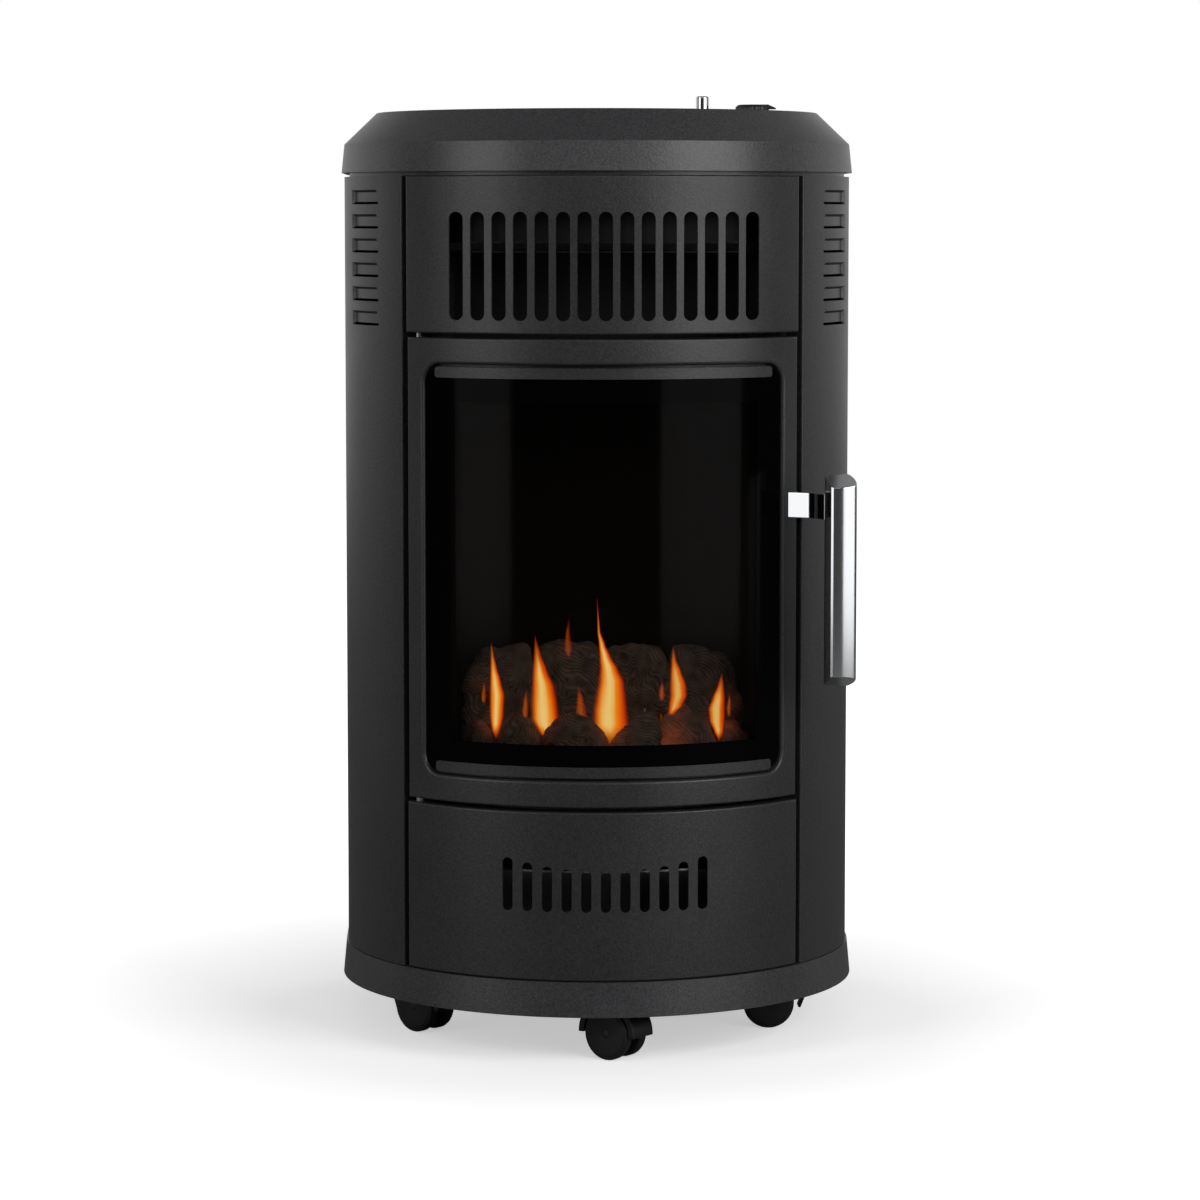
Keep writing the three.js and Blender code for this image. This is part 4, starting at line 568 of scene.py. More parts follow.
class Palette:
    """Every finish of the heater, by material slot."""

    def __init__(self) -> None:
        """Makes every material."""
        # Charcoal polyester powder coat: dark grey, satin, with a sandy texture. The texture is drawn
        # about three times as coarse as the real one, so that it shows.
        texture = {"grain": 1.6 * MM, "grain_height": 0.14 * MM, "speckle": 0.45}
        self.powder = Coating("powder_coat_charcoal", "#2a2a2c", "#2e2e30", 0.4, **texture).build()
        # The same coat, a shade lighter: painted light on the lid and the base.
        self.powder_painted_lighter = Coating(
            "powder_coat_painted_lighter", "#38383a", "#3d3d3f", 0.37, **texture
        ).build()
        # Matt stove paint: a dull near-black.
        self.stove = Coating("stove_paint_black", "#0c0b0a", "#110f0e", 0.7, specular=0.2).build()
        # Zinc-plated steel strip and tube: a cool grey sheen.
        self.zinc = BrushedMetal("zinc_plated_steel", "#a4a6a8", 0.32).build()
        # Polished chrome plate: a bright mirror.
        self.chrome = BrushedMetal("chrome_plate", "#dcdee0", 0.07, depth=0.0004 * MM).build()
        # Chrome plate over brushed steel: a mirror that spreads a reflection a little.
        self.satin = BrushedMetal("satin_chrome_plate", "#e2e4e6", 0.13, depth=0.0008 * MM).build()
        # Moulded nylon: a satin black.
        self.plastic = Coating("black_nylon", "#0c0c0c", "#111111", 0.4, grain=0.5 * MM).build()
        # Moulded hard rubber: a duller black.
        self.tyre = Coating("hard_rubber", "#131313", "#171717", 0.5, grain=0.7 * MM).build()
        # Smoked ceramic glass with a printed border: dark, with soft reflections.
        self.glass = DarkGlass("smoked_glass").build()
        # Woven glass-fibre tape: a matt, coarse dark grey.
        self.gasket = Coating("glass_fibre_tape", "#232220", "#33312e", 0.95, grain=1.2 * MM).build()
        # Fired ceramic: a matt, pitted grey with charred lines, and a painted glow of flame light near the
        # flames.
        self.coal = CoalCeramic("ceramic_coal").build()
        # Glazed porcelain: a smooth, shiny off-white.
        self.porcelain = Coating("glazed_porcelain", "#e8e4da", "#dedacf", 0.2, coat=0.5).build()
        # Machined brass: a warm yellow sheen.
        self.brass = BrushedMetal("machined_brass", "#b99b58", 0.28).build()
        # Drawn aluminium tube: a pale, soft sheen.
        self.aluminium = BrushedMetal("drawn_aluminium", "#c4c6c8", 0.3).build()
        # Burning gas: clear, and lit from within.
        self.flame = FlameGlow("gas_flame").build()

    def by_slot(self) -> dict[str, bpy.types.Material]:
        """The finish of each of the record's slots."""
        return {
            Slot.POWDER_COAT.value: self.powder,
            Slot.DARK_STEEL.value: self.stove,
            Slot.ZINC_STEEL.value: self.zinc,
            Slot.CHROME.value: self.chrome,
            Slot.BLACK_PLASTIC.value: self.plastic,
            Slot.TYRE.value: self.tyre,
            Slot.GLASS.value: self.glass,
            Slot.GASKET.value: self.gasket,
            Slot.COAL.value: self.coal,
            Slot.WHITE_CERAMIC.value: self.porcelain,
            Slot.BRASS.value: self.brass,
            Slot.ALUMINIUM.value: self.aluminium,
        }


# -------------------- mesh helpers


@dataclass(frozen=True)
class Make:
    """How a mesh becomes a piece of the heater."""

    name: str
    body: Body | str
    finish: bpy.types.Material
    slot: Slot
    replaces: tuple[str, ...] = ()
    thickness: float = 0.0
    bevel: float = 0.0
    bevel_angle: float = 40.0
    segments: int = 2


def finish_piece(bm: bmesh.types.BMesh, make: Make) -> bpy.types.Object:
    """Turns a mesh into a finished piece that rides on its body.

    Args:
        bm: The mesh, which is used up.
        make: How it is finished.

    Returns:
        The piece.
    """
    bmesh.ops.remove_doubles(bm, verts=bm.verts, dist=MERGE)
    for face in bm.faces:
        face.smooth = True
    mesh = bpy.data.meshes.new(make.name)
    bm.to_mesh(mesh)
    bm.free()
    piece = bpy.data.objects.new(make.name, mesh)
    bpy.context.scene.collection.objects.link(piece)
    mesh.materials.append(make.finish)
    if make.thickness:
        sheet = piece.modifiers.new("sheet", "SOLIDIFY")
        sheet.thickness = make.thickness
        sheet.offset = -1.0
        sheet.use_even_offset = True
    if make.bevel:
        edge = piece.modifiers.new("edges", "BEVEL")
        edge.width = make.bevel
        edge.segments = make.segments
        edge.limit_method = "ANGLE"
        edge.angle_limit = math.radians(make.bevel_angle)
        edge.use_clamp_overlap = True
    weighted = piece.modifiers.new("shading", "WEIGHTED_NORMAL")
    weighted.keep_sharp = True
    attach(piece, make.body.value if isinstance(make.body, Body) else make.body)
    if make.replaces:
        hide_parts(*make.replaces)
    log.info("piece %s: %d faces", make.name, len(mesh.polygons))
    return piece


@dataclass(frozen=True)
class Part:
    """A sub-assembly of the heater."""

    palette: Palette

    def build(self) -> None:
        """Makes its pieces."""
        raise NotImplementedError


def edge_loop(bm: bmesh.types.BMesh, points: Iterable[Sequence[float]]) -> list[bmesh.types.BMEdge]:
    """Adds a closed loop of edges through points."""
    verts = [bm.verts.new(point) for point in points]
    return [bm.edges.new((a, b)) for a, b in zip(verts, verts[1:] + verts[:1], strict=True)]


def flat_sheet(
    outline: Sequence[Point], holes: Sequence[Sequence[Point]], step: float
) -> bmesh.types.BMesh:
    """Cuts a flat sheet with holes into strips that a bend can follow.

    Args:
        outline: Outer loop, as way along the cabinet and height.
        holes: Loops inside it.
        step: Width of a strip.

    Returns:
        The sheet in the XZ plane, facing -Y, as one polygon to a strip.
    """
    bm = bmesh.new()
    for loop in (outline, *holes):
        edge_loop(bm, ((x, 0.0, z) for x, z in loop))
    bmesh.ops.triangle_fill(bm, edges=bm.edges[:], use_beauty=True, normal=(0, -1, 0))
    low = min(x for x, _ in outline)
    high = max(x for x, _ in outline)
    for i in range(math.floor(low / step), math.ceil(high / step) + 1):
        if low + NEAR < i * step < high - NEAR:
            geometry = bm.verts[:] + bm.edges[:] + bm.faces[:]
            bmesh.ops.bisect_plane(
                bm, geom=geometry, dist=MERGE, plane_co=(i * step, 0, 0), plane_no=(1, 0, 0)
            )

    def on_line(vert: bmesh.types.BMVert) -> bool:
        """Whether a point lies where two strips meet."""
        return abs(vert.co.x / step - round(vert.co.x / step)) < ON_LINE

    def is_seam(edge: bmesh.types.BMEdge) -> bool:
        """Whether an edge is the line between two strips."""
        first, last = edge.verts
        return on_line(first) and on_line(last) and abs(first.co.x - last.co.x) < NEAR

    inner = [edge for edge in bm.edges if len(edge.link_faces) == 2 and not is_seam(edge)]
    bmesh.ops.dissolve_edges(bm, edges=inner, use_verts=False, use_face_split=False)
    for face in bm.faces:
        if face.normal.y > 0:
            face.normal_flip()
    return bm


def wrap(bm: bmesh.types.BMesh, inset: float = SIZE.shell_inset) -> None:
    """Bends a flat sheet round the cabinet.

    Args:
        bm: The sheet. X is the way along the cabinet, and Y the depth behind the face.
        inset: How far the face is drawn in from the rim.
    """
    for vert in bm.verts:
        x, y = PLAN.place(vert.co.x, inset + vert.co.y)
        vert.co = Vector((x, y, vert.co.z))


def rolled_edge(
    bm: bmesh.types.BMesh, edges: Sequence[bmesh.types.BMEdge], outward: Outward, radius: float,
    depth: float,
) -> list[bmesh.types.BMEdge]:
    """Rolls a boundary of a flat sheet back through a quarter turn and on to a depth.

    Args:
        bm: The flat sheet.
        edges: The boundary's edges.
        outward: Gives, at a point of the boundary, the direction away from the sheet.
        radius: Radius of the roll.
        depth: How far behind the face the edge ends.

    Returns:
        The edges at the end.
    """
    starts: dict[bmesh.types.BMVert, tuple[Vector, Vector]] = {}
    for edge in edges:
        for vert in edge.verts:
            across, up = outward(vert.co.x, vert.co.z)
            starts[vert] = (vert.co.copy(), Vector((across, 0, up)))
    current = list(edges)
    turns = [math.pi / 2 * i / ROLL_STEPS for i in range(1, ROLL_STEPS + 1)]
    places = [(radius * math.sin(a), radius * (1 - math.cos(a))) for a in turns]
    if depth > radius:
        places.append((radius, depth))
    for out, back in places:
        made = bmesh.ops.extrude_edge_only(bm, edges=current)["geom"]
        fresh = [item for item in made if isinstance(item, bmesh.types.BMVert)]
        shifted: dict[bmesh.types.BMVert, tuple[Vector, Vector]] = {}
        for vert in fresh:
            twin = next(e.other_vert(vert) for e in vert.link_edges if e.other_vert(vert) in starts)
            start, direction = starts[twin]
            vert.co = start + direction * out + Vector((0, back, 0))
            shifted[vert] = (start, direction)
        starts = shifted
        ends = (item for item in made if isinstance(item, bmesh.types.BMEdge))
        current = [edge for edge in ends if all(vert in starts for vert in edge.verts)]
    return current


def rectangle(box: Box) -> list[Point]:
    """Corners of a box, which is its left, right, bottom and top."""
    x0, x1, z0, z1 = box
    return [(x0, z0), (x1, z0), (x1, z1), (x0, z1)]


def box_outward(box: Box) -> Outward:
    """Gives the direction out of a box.

    Args:
        box: Its left, right, bottom and top.

    Returns:
        The direction at a point of its edge, diagonal at its corners.
    """
    x0, x1, z0, z1 = box

    def side(value: float, low: float, high: float) -> float:
        """Which of two sides a value lies on."""
        return -1.0 if abs(value - low) < NEAR else 1.0 if abs(value - high) < NEAR else 0.0

    return lambda x, z: (side(x, x0, x1), side(z, z0, z1))


def rounded_rectangle(box: Box, radius: float) -> list[Point]:
    """Draws a box with round corners.

    Args:
        box: Its left, right, bottom and top.
        radius: Radius of a corner.

    Returns:
        Its outline.
    """
    x0, x1, z0, z1 = box
    points = []
    for x, z, start in (
        (x1 - radius, z0 + radius, -90), (x1 - radius, z1 - radius, 0), (x0 + radius, z1 - radius, 90),
        (x0 + radius, z0 + radius, 180),
    ):
        points += arc((x, z), radius, start, 90, CORNER_STEPS)
    return points


def rounded_outward(box: Box, radius: float) -> Outward:
    """Gives the direction into a rounded hole, away from the sheet round it.

    Args:
        box: The hole's left, right, bottom and top.
        radius: Radius of a corner.

    Returns:
        The direction at a point of its edge.
    """
    x0, x1, z0, z1 = box
    middle = Vector(((x0 + x1) / 2, (z0 + z1) / 2))
    half = Vector(((x1 - x0) / 2 - radius, (z1 - z0) / 2 - radius))

    def outward(x: float, z: float) -> Point:
        """The direction at one point."""
        away = Vector((x, z)) - middle
        over = Vector((abs(away.x) - half.x, abs(away.y) - half.y))
        if over.x > 0 and over.y > 0:
            normal = over.normalized()
        else:
            normal = Vector((1.0, 0.0)) if over.x > over.y else Vector((0.0, 1.0))
        return -math.copysign(normal.x, away.x), -math.copysign(normal.y, away.y)

    return outward


def stadium(x: float, z0: float, z1: float, width: float) -> list[Point]:
    """An upright slot with round ends."""
    radius = width / 2
    upper = arc((x, z1 - radius), radius, 0, 180, END_STEPS)
    return upper + arc((x, z0 + radius), radius, 180, 180, END_STEPS)


def boundary(bm: bmesh.types.BMesh, inside: Callable[[Vector], bool]) -> list[bmesh.types.BMEdge]:
    """Boundary edges whose middle passes a test."""
    return [
        edge
        for edge in bm.edges
        if edge.is_boundary and inside((edge.verts[0].co + edge.verts[1].co) / 2)
    ]


def fold_sides(bm: bmesh.types.BMesh, box: Box, fold: float, depth: float) -> None:
    """Folds all four sides of a flat sheet back.

    Args:
        bm: The flat sheet.
        box: Its left, right, bottom and top.
        fold: Radius of the fold.
        depth: How far behind the face the sides end.
    """
    x0, x1, z0, z1 = box
    sides = boundary(
        bm, lambda p: min(abs(p.x - x0), abs(p.x - x1), abs(p.z - z0), abs(p.z - z1)) < NEAR
    )
    rolled_edge(bm, sides, box_outward(box), fold, depth)


def turned(profile: Sequence[Point], x: float, y: float, steps: int = 48) -> bmesh.types.BMesh:
    """Spins a profile about a vertical axis.

    Args:
        profile: Radius and height of its points.
        x: Where the axis is.
        y: Where the axis is.
        steps: Facets round it.

    Returns:
        The turned mesh.
    """
    bm = bmesh.new()
    verts = [bm.verts.new((radius, 0, height)) for radius, height in profile]
    edges = [bm.edges.new(pair) for pair in zip(verts, verts[1:])]
    bmesh.ops.spin(
        bm, geom=verts + edges, cent=(0, 0, 0), axis=(0, 0, 1), angle=math.tau, steps=steps,
        use_merge=True,
    )
    bmesh.ops.remove_doubles(bm, verts=bm.verts, dist=MERGE)
    bmesh.ops.recalc_face_normals(bm, faces=bm.faces)
    bmesh.ops.translate(bm, verts=bm.verts, vec=(x, y, 0))
    return bm


def bridged(
    bm: bmesh.types.BMesh, rings: Iterable[Iterable[Sequence[float]]]
) -> list[bmesh.types.BMEdge]:
    """Adds equal loops of points and bridges each to the next.

    Args:
        bm: The mesh that they go into.
        rings: The points of each loop.

    Returns:
        The edges of the last loop.
    """
    loops = [edge_loop(bm, ring) for ring in rings]
    for low, high in zip(loops, loops[1:]):
        bmesh.ops.bridge_loops(bm, edges=low + high)
    return loops[-1]


def lofted(rings: Iterable[Iterable[Sequence[float]]]) -> bmesh.types.BMesh:
    """Makes a solid through equal loops of points.

    Args:
        rings: The points of each loop.

    Returns:
        The solid, closed at both ends.
    """
    bm = bmesh.new()
    bridged(bm, rings)
    bmesh.ops.holes_fill(bm, edges=[e for e in bm.edges if e.is_boundary], sides=0)
    bmesh.ops.recalc_face_normals(bm, faces=bm.faces)
    return bm


def joined(parts: Iterable[bmesh.types.BMesh]) -> bmesh.types.BMesh:
    """Puts several meshes into one.

    Args:
        parts: The meshes, which are used up.

    Returns:
        The one mesh.
    """
    whole = bmesh.new()
    for part in parts:
        mesh = bpy.data.meshes.new("part")
        part.to_mesh(mesh)
        part.free()
        whole.from_mesh(mesh)
        bpy.data.meshes.remove(mesh)
    return whole


def moved(bm: bmesh.types.BMesh, matrix: Matrix) -> bmesh.types.BMesh:
    """Moves a mesh by a matrix."""
    bmesh.ops.transform(bm, matrix=matrix, verts=bm.verts)
    return bm


def standing(outline: Sequence[Point], low: float, high: float) -> bmesh.types.BMesh:
    """A solid that stands on a plan outline."""
    return lofted([[(x, y, low) for x, y in outline], [(x, y, high) for x, y in outline]])


def upright(outline: Sequence[Point], half: float) -> bmesh.types.BMesh:
    """A solid whose outline is drawn in X and Z, that reaches a half width to each side."""
    return lofted([[(x, -half, z) for x, z in outline], [(x, half, z) for x, z in outline]])


def strip(path: Sequence[Point], thickness: float) -> list[Point]:
    """Draws a strip of sheet on edge, to the left of its path.

    Args:
        path: The points that it goes through.
        thickness: Its thickness.

    Returns:
        Its outline.
    """
    points = [Vector(point) for point in path]
    ways = [(b - a).normalized() for a, b in zip(points, points[1:])]
    far = []
    for i, point in enumerate(points):
        before, after = ways[max(i - 1, 0)], ways[min(i, len(ways) - 1)]
        side = Vector((-after.y, after.x))
        across = (Vector((-before.y, before.x)) + side).normalized()
        far.append(point + across * (thickness / across.dot(side)))
    return [(p.x, p.y) for p in (*points, *reversed(far))]


# -------------------- cabinet shell


@dataclass(frozen=True)
class SlotRow:
    """A row of upright slots in a front panel."""

    count: int
    pitch: float
    width: float
    bottom: float
    length: float
    growth: float = 0.0

    def outlines(self) -> list[list[Point]]:
        """Draws the slots on the flat panel.

        Returns:
            Their outlines.
        """
        found = []
        for i in range(self.count):
            step = i - (self.count - 1) / 2
            top = self.bottom + self.length + self.growth * step * step
            flat = stadium(step * self.pitch, self.bottom, top, self.width)
            found.append([(PLAN.across(x), z) for x, z in flat])
        return found


@dataclass(frozen=True)
class FrontPanels(Part):
    """The grille above the door and the panel with air slots below it."""

    fold: float = 1.6 * MM
    upper: SlotRow = SlotRow(15, 16.6 * MM, 11 * MM, 587 * MM, 84.7 * MM)
    lower: SlotRow = SlotRow(11, 15.4 * MM, 8 * MM, 123.4 * MM, 32.7 * MM, 0.38 * MM)

    def panel(self, name: str, bottom: float, top: float, slots: SlotRow) -> None:
        """Makes a bowed panel with folded edges.

        Args:
            name: The node that it stands for.
            bottom: Height of its lower edge.
            top: Height of its upper edge.
            slots: Its slots.
        """
        half = PLAN.along(SIZE.panel_angle) - self.fold
        box = (-half, half, bottom + self.fold, top - self.fold)
        bm = flat_sheet(rectangle(box), slots.outlines(), PLAN.strip)
        fold_sides(bm, box, self.fold, SIZE.return_depth)
        wrap(bm)
        finish_piece(
            bm,
            Make(
                name + "_shell", Body.CABINET, self.palette.powder, Slot.POWDER_COAT, (name,),
                thickness=SIZE.sheet, bevel=0.5 * MM, bevel_angle=50, segments=3,
            ),
        )

    def build(self) -> None:
        """Makes both panels."""
        self.panel("upper_grille_panel", SIZE.upper_bottom, SIZE.panel_top, self.upper)
        self.panel("lower_front_panel", SIZE.panel_bottom, SIZE.lower_top, self.lower)


@dataclass(frozen=True)
class Louvres:
    """The louvres pressed into a side panel."""

    count: int = 6
    start: float = 59.0
    end: float = 74.4
    height: float = 11.4 * MM
    pitch: float = 19.35 * MM
    depth: float = 2.6 * MM
    slope: float = 1.9 * MM
    below_top: float = 11 * MM
    # The upper front corner is cut off, and the lower ones are snipped. Each point of the cut is so
    # many slopes back from the front and down from the top.
    cut: tuple[Point, ...] = ((1.8, 0.0), (0.9, 1.1), (0.0, 3.0))
    snip: float = 0.5


@dataclass(frozen=True)
class SidePanels(Part):
    """The two wrap-round sides, from the front column to the flange at the back."""

    fold: float = 1.6 * MM
    rear_flange: float = 5 * MM
    louvres: Louvres = Louvres()

    def louvre_boxes(self) -> list[Box]:
        """Places the louvres on the flat panel.

        Returns:
            Their left, right, bottom and top, from the highest down.
        """
        louvres = self.louvres
        boxes = []
        for i in range(louvres.count):
            top = SIZE.panel_top - louvres.below_top - i * louvres.pitch
            boxes.append((PLAN.along(louvres.start), PLAN.along(louvres.end), top - louvres.height, top))
        return boxes

    def outline(self, box: Box) -> list[Point]:
        """Draws a louvre, square at the back and cut off at its upper front corner.

        Args:
            box: Its left, right, bottom and top.

        Returns:
            Its outline.
        """
        x0, x1, z0, z1 = box
        slope = self.louvres.slope
        snip = slope * self.louvres.snip
        cut = [(x0 + slope * back, z1 - slope * down) for back, down in self.louvres.cut]
        return [*cut, (x0, z0 + snip), (x0 + snip, z0), (x1 - snip, z0), (x1, z0 + snip), (x1, z1)]

    def tongue(self, bm: bmesh.types.BMesh, box: Box) -> None:
        """Presses one louvre in: a flat field inside sloped walls, open along the bottom.

        Args:
            bm: The flat panel, with the louvre's outline cut out.
            box: The louvre's left, right, bottom and top.
        """
        x0, x1, z0, z1 = box
        size = self.louvres
        rim = boundary(bm, lambda p: x0 - NEAR < p.x < x1 + NEAR and z0 - NEAR < p.z < z1 + NEAR)
        made = bmesh.ops.extrude_edge_only(bm, edges=rim)["geom"]
        middle_x, middle_z = (x0 + x1) / 2, (z0 + z1) / 2
        shrink_x, shrink_z = 1 - 2 * size.slope / (x1 - x0), 1 - 2 * size.slope / (z1 - z0)
        for vert in (item for item in made if isinstance(item, bmesh.types.BMVert)):
            vert.co.x = middle_x + (vert.co.x - middle_x) * shrink_x
            vert.co.z = middle_z + (vert.co.z - middle_z) * shrink_z
            vert.co.y += size.depth
        field = [
            item
            for item in made
            if isinstance(item, bmesh.types.BMEdge) and all(v.co.y > NEAR for v in item.verts)
        ]
        slot = [
            item
            for item in made
            if isinstance(item, bmesh.types.BMFace) and sum(abs(v.co.z - z0) < NEAR for v in item.verts) == 2
        ]
        bmesh.ops.triangle_fill(bm, edges=field, use_beauty=True, normal=(0, -1, 0))
        bmesh.ops.delete(bm, geom=slot, context="FACES_ONLY")

    def build_side(self, side: int) -> None:
        """Makes one side panel.

        Args:
            side: 1 for the right one, -1 for the left one.
        """
        fold = self.fold
        front = PLAN.along(SIZE.column_angle) + fold
        back = PLAN.quarter + PLAN.straight + PLAN.corner + self.rear_flange
        bottom, top = SIZE.panel_bottom, SIZE.panel_top
        boxes = self.louvre_boxes()
        bm = flat_sheet(
            rectangle((front, back, bottom, top)), [self.outline(box) for box in boxes], PLAN.strip
        )
        for box in boxes:
            self.tongue(bm, box)
        bmesh.ops.recalc_face_normals(bm, faces=bm.faces)
        if max(bm.faces, key=lambda f: f.calc_area()).normal.y > 0:
            bmesh.ops.reverse_faces(bm, faces=bm.faces)
        edges = boundary(bm, lambda p: abs(p.x - front) < NEAR)
        rolled_edge(bm, edges, lambda x, z: (-1.0, 0.0), fold, SIZE.return_depth)
        wrap(bm)
        if side < 0:
            bmesh.ops.scale(bm, vec=(-1, 1, 1), verts=bm.verts)
            bmesh.ops.reverse_faces(bm, faces=bm.faces)
        name = "side_panel_right" if side > 0 else "side_panel_left"
        finish_piece(
            bm,
            Make(
                name + "_shell", Body.CABINET, self.palette.powder, Slot.POWDER_COAT, (name,),
                thickness=SIZE.sheet, bevel=0.3 * MM, bevel_angle=50,
            ),
        )

    def build(self) -> None:
        """Makes both panels."""
        self.build_side(1)
        self.build_side(-1)


@dataclass(frozen=True)
class LidAndBase(Part):
    """The lid's cap and the base pan, two pressed rims of the same outline."""

    socket: float = 7 * MM
    socket_bottom: float = 50.1 * MM
    rim_return: float = 5 * MM
    lid_return: float = 20 * MM
    lid_draft: float = 2.4 * MM
    lid_gap: float = 8 * MM
    rim_draft: float = 2.3 * MM
    hole_steps: int = 32

    def sockets(self) -> list[bmesh.types.BMesh]:
        """The tubes under the pan that the castor stems stand in."""
        wall = [(self.socket, self.socket_bottom), (self.socket, SIZE.rim_top)]
        return [turned(wall, place.x, place.y, self.hole_steps) for place in Castors.places]

    def shell(
        self, name: str, path: Sequence[Point], replaces: str,
        holes: Sequence[tuple[float, float, float]], fittings: Sequence[bmesh.types.BMesh] = (),
    ) -> None:
        """Lofts a path of inset and height round the outline, and fills the last ring.

        Args:
            name: The piece's name.
            path: Inset and height of each ring, up to the top.
            replaces: The node that it stands for.
            holes: X, Y and radius of each hole in the top.
            fittings: Meshes that belong to the piece.
        """
        bm = bmesh.new()
        cap = bridged(bm, ([(x, y, z) for x, y in PLAN.ring(inset)] for inset, z in path))
        height = path[-1][1]
        for x, y, radius in holes:
            hole = arc((x, y), radius, 0, 360, self.hole_steps)[:-1]
            cap += edge_loop(bm, ((px, py, height) for px, py in hole))
        bmesh.ops.triangle_fill(bm, edges=cap, use_beauty=True, normal=(0, 0, 1))
        bmesh.ops.recalc_face_normals(bm, faces=bm.faces)
        top = max(bm.faces, key=lambda f: f.calc_center_median().z)
        if top.normal.z < 0:
            bmesh.ops.reverse_faces(bm, faces=bm.faces)
        # The lid and the base take the coat painted a shade lighter, as painted light.
        finish_piece(
            joined([bm, *fittings]),
            Make(
                name, Body.CABINET, self.palette.powder_painted_lighter, Slot.POWDER_COAT, (replaces,),
                thickness=SIZE.sheet, bevel=1.2 * MM, bevel_angle=25, segments=3,
            ),
        )

    def build(self) -> None:
        """Makes the lid and the base."""
        size = SIZE
        self.shell(
            "lid_cap",
            [
                (self.lid_return, size.lid_seat), (self.lid_gap, size.lid_seat),
                (self.lid_gap, size.lid_bottom), (0, size.lid_bottom),
                (self.lid_draft, size.lid_shoulder), (size.lid_chamfer, size.lid_top),
            ],
            "top_lid",
            [
                (Controls.knob_x, Controls.y, Controls.spindle_hole),
                (Controls.button_x, Controls.y, Controls.button_hole),
            ],
        )
        self.shell(
            "base_pan_shell",
            [
                (self.rim_return, size.rim_bottom), (0, size.rim_bottom), (self.rim_draft, size.rim_top),
                (size.seat_inset, size.rim_top), (size.seat_inset, size.seat),
            ],
            "base_pan",
            [],
            self.sockets(),
        )


# -------------------- door


@dataclass(frozen=True)
class DoorSize:
    """The door's opening and the layers of its glazing."""

    depth: float = 9.9 * MM
    window_angle: float = 43.35
    window_bottom: float = 227.4 * MM
    window_top: float = 552.7 * MM
    window_corner: float = 16 * MM
    lip: float = 2.6 * MM
    rebate_depth: float = 8.4 * MM
    rebate: float = 12 * MM
    glass_inner: float = 201.2 * MM
    glass: float = 4 * MM
    glass_angle: float = 43.0
    glass_bottom: float = 231.5 * MM
    glass_top: float = 548.6 * MM
    glass_corner: float = 12 * MM
    strip_inner: float = 205.5 * MM
    strip_angle: float = 40.0
    strip_height: float = 8.5 * MM
    strip_top: float = 550.4 * MM
    strip_bottom: float = 229.7 * MM
    strip_corner: float = 2.5 * MM


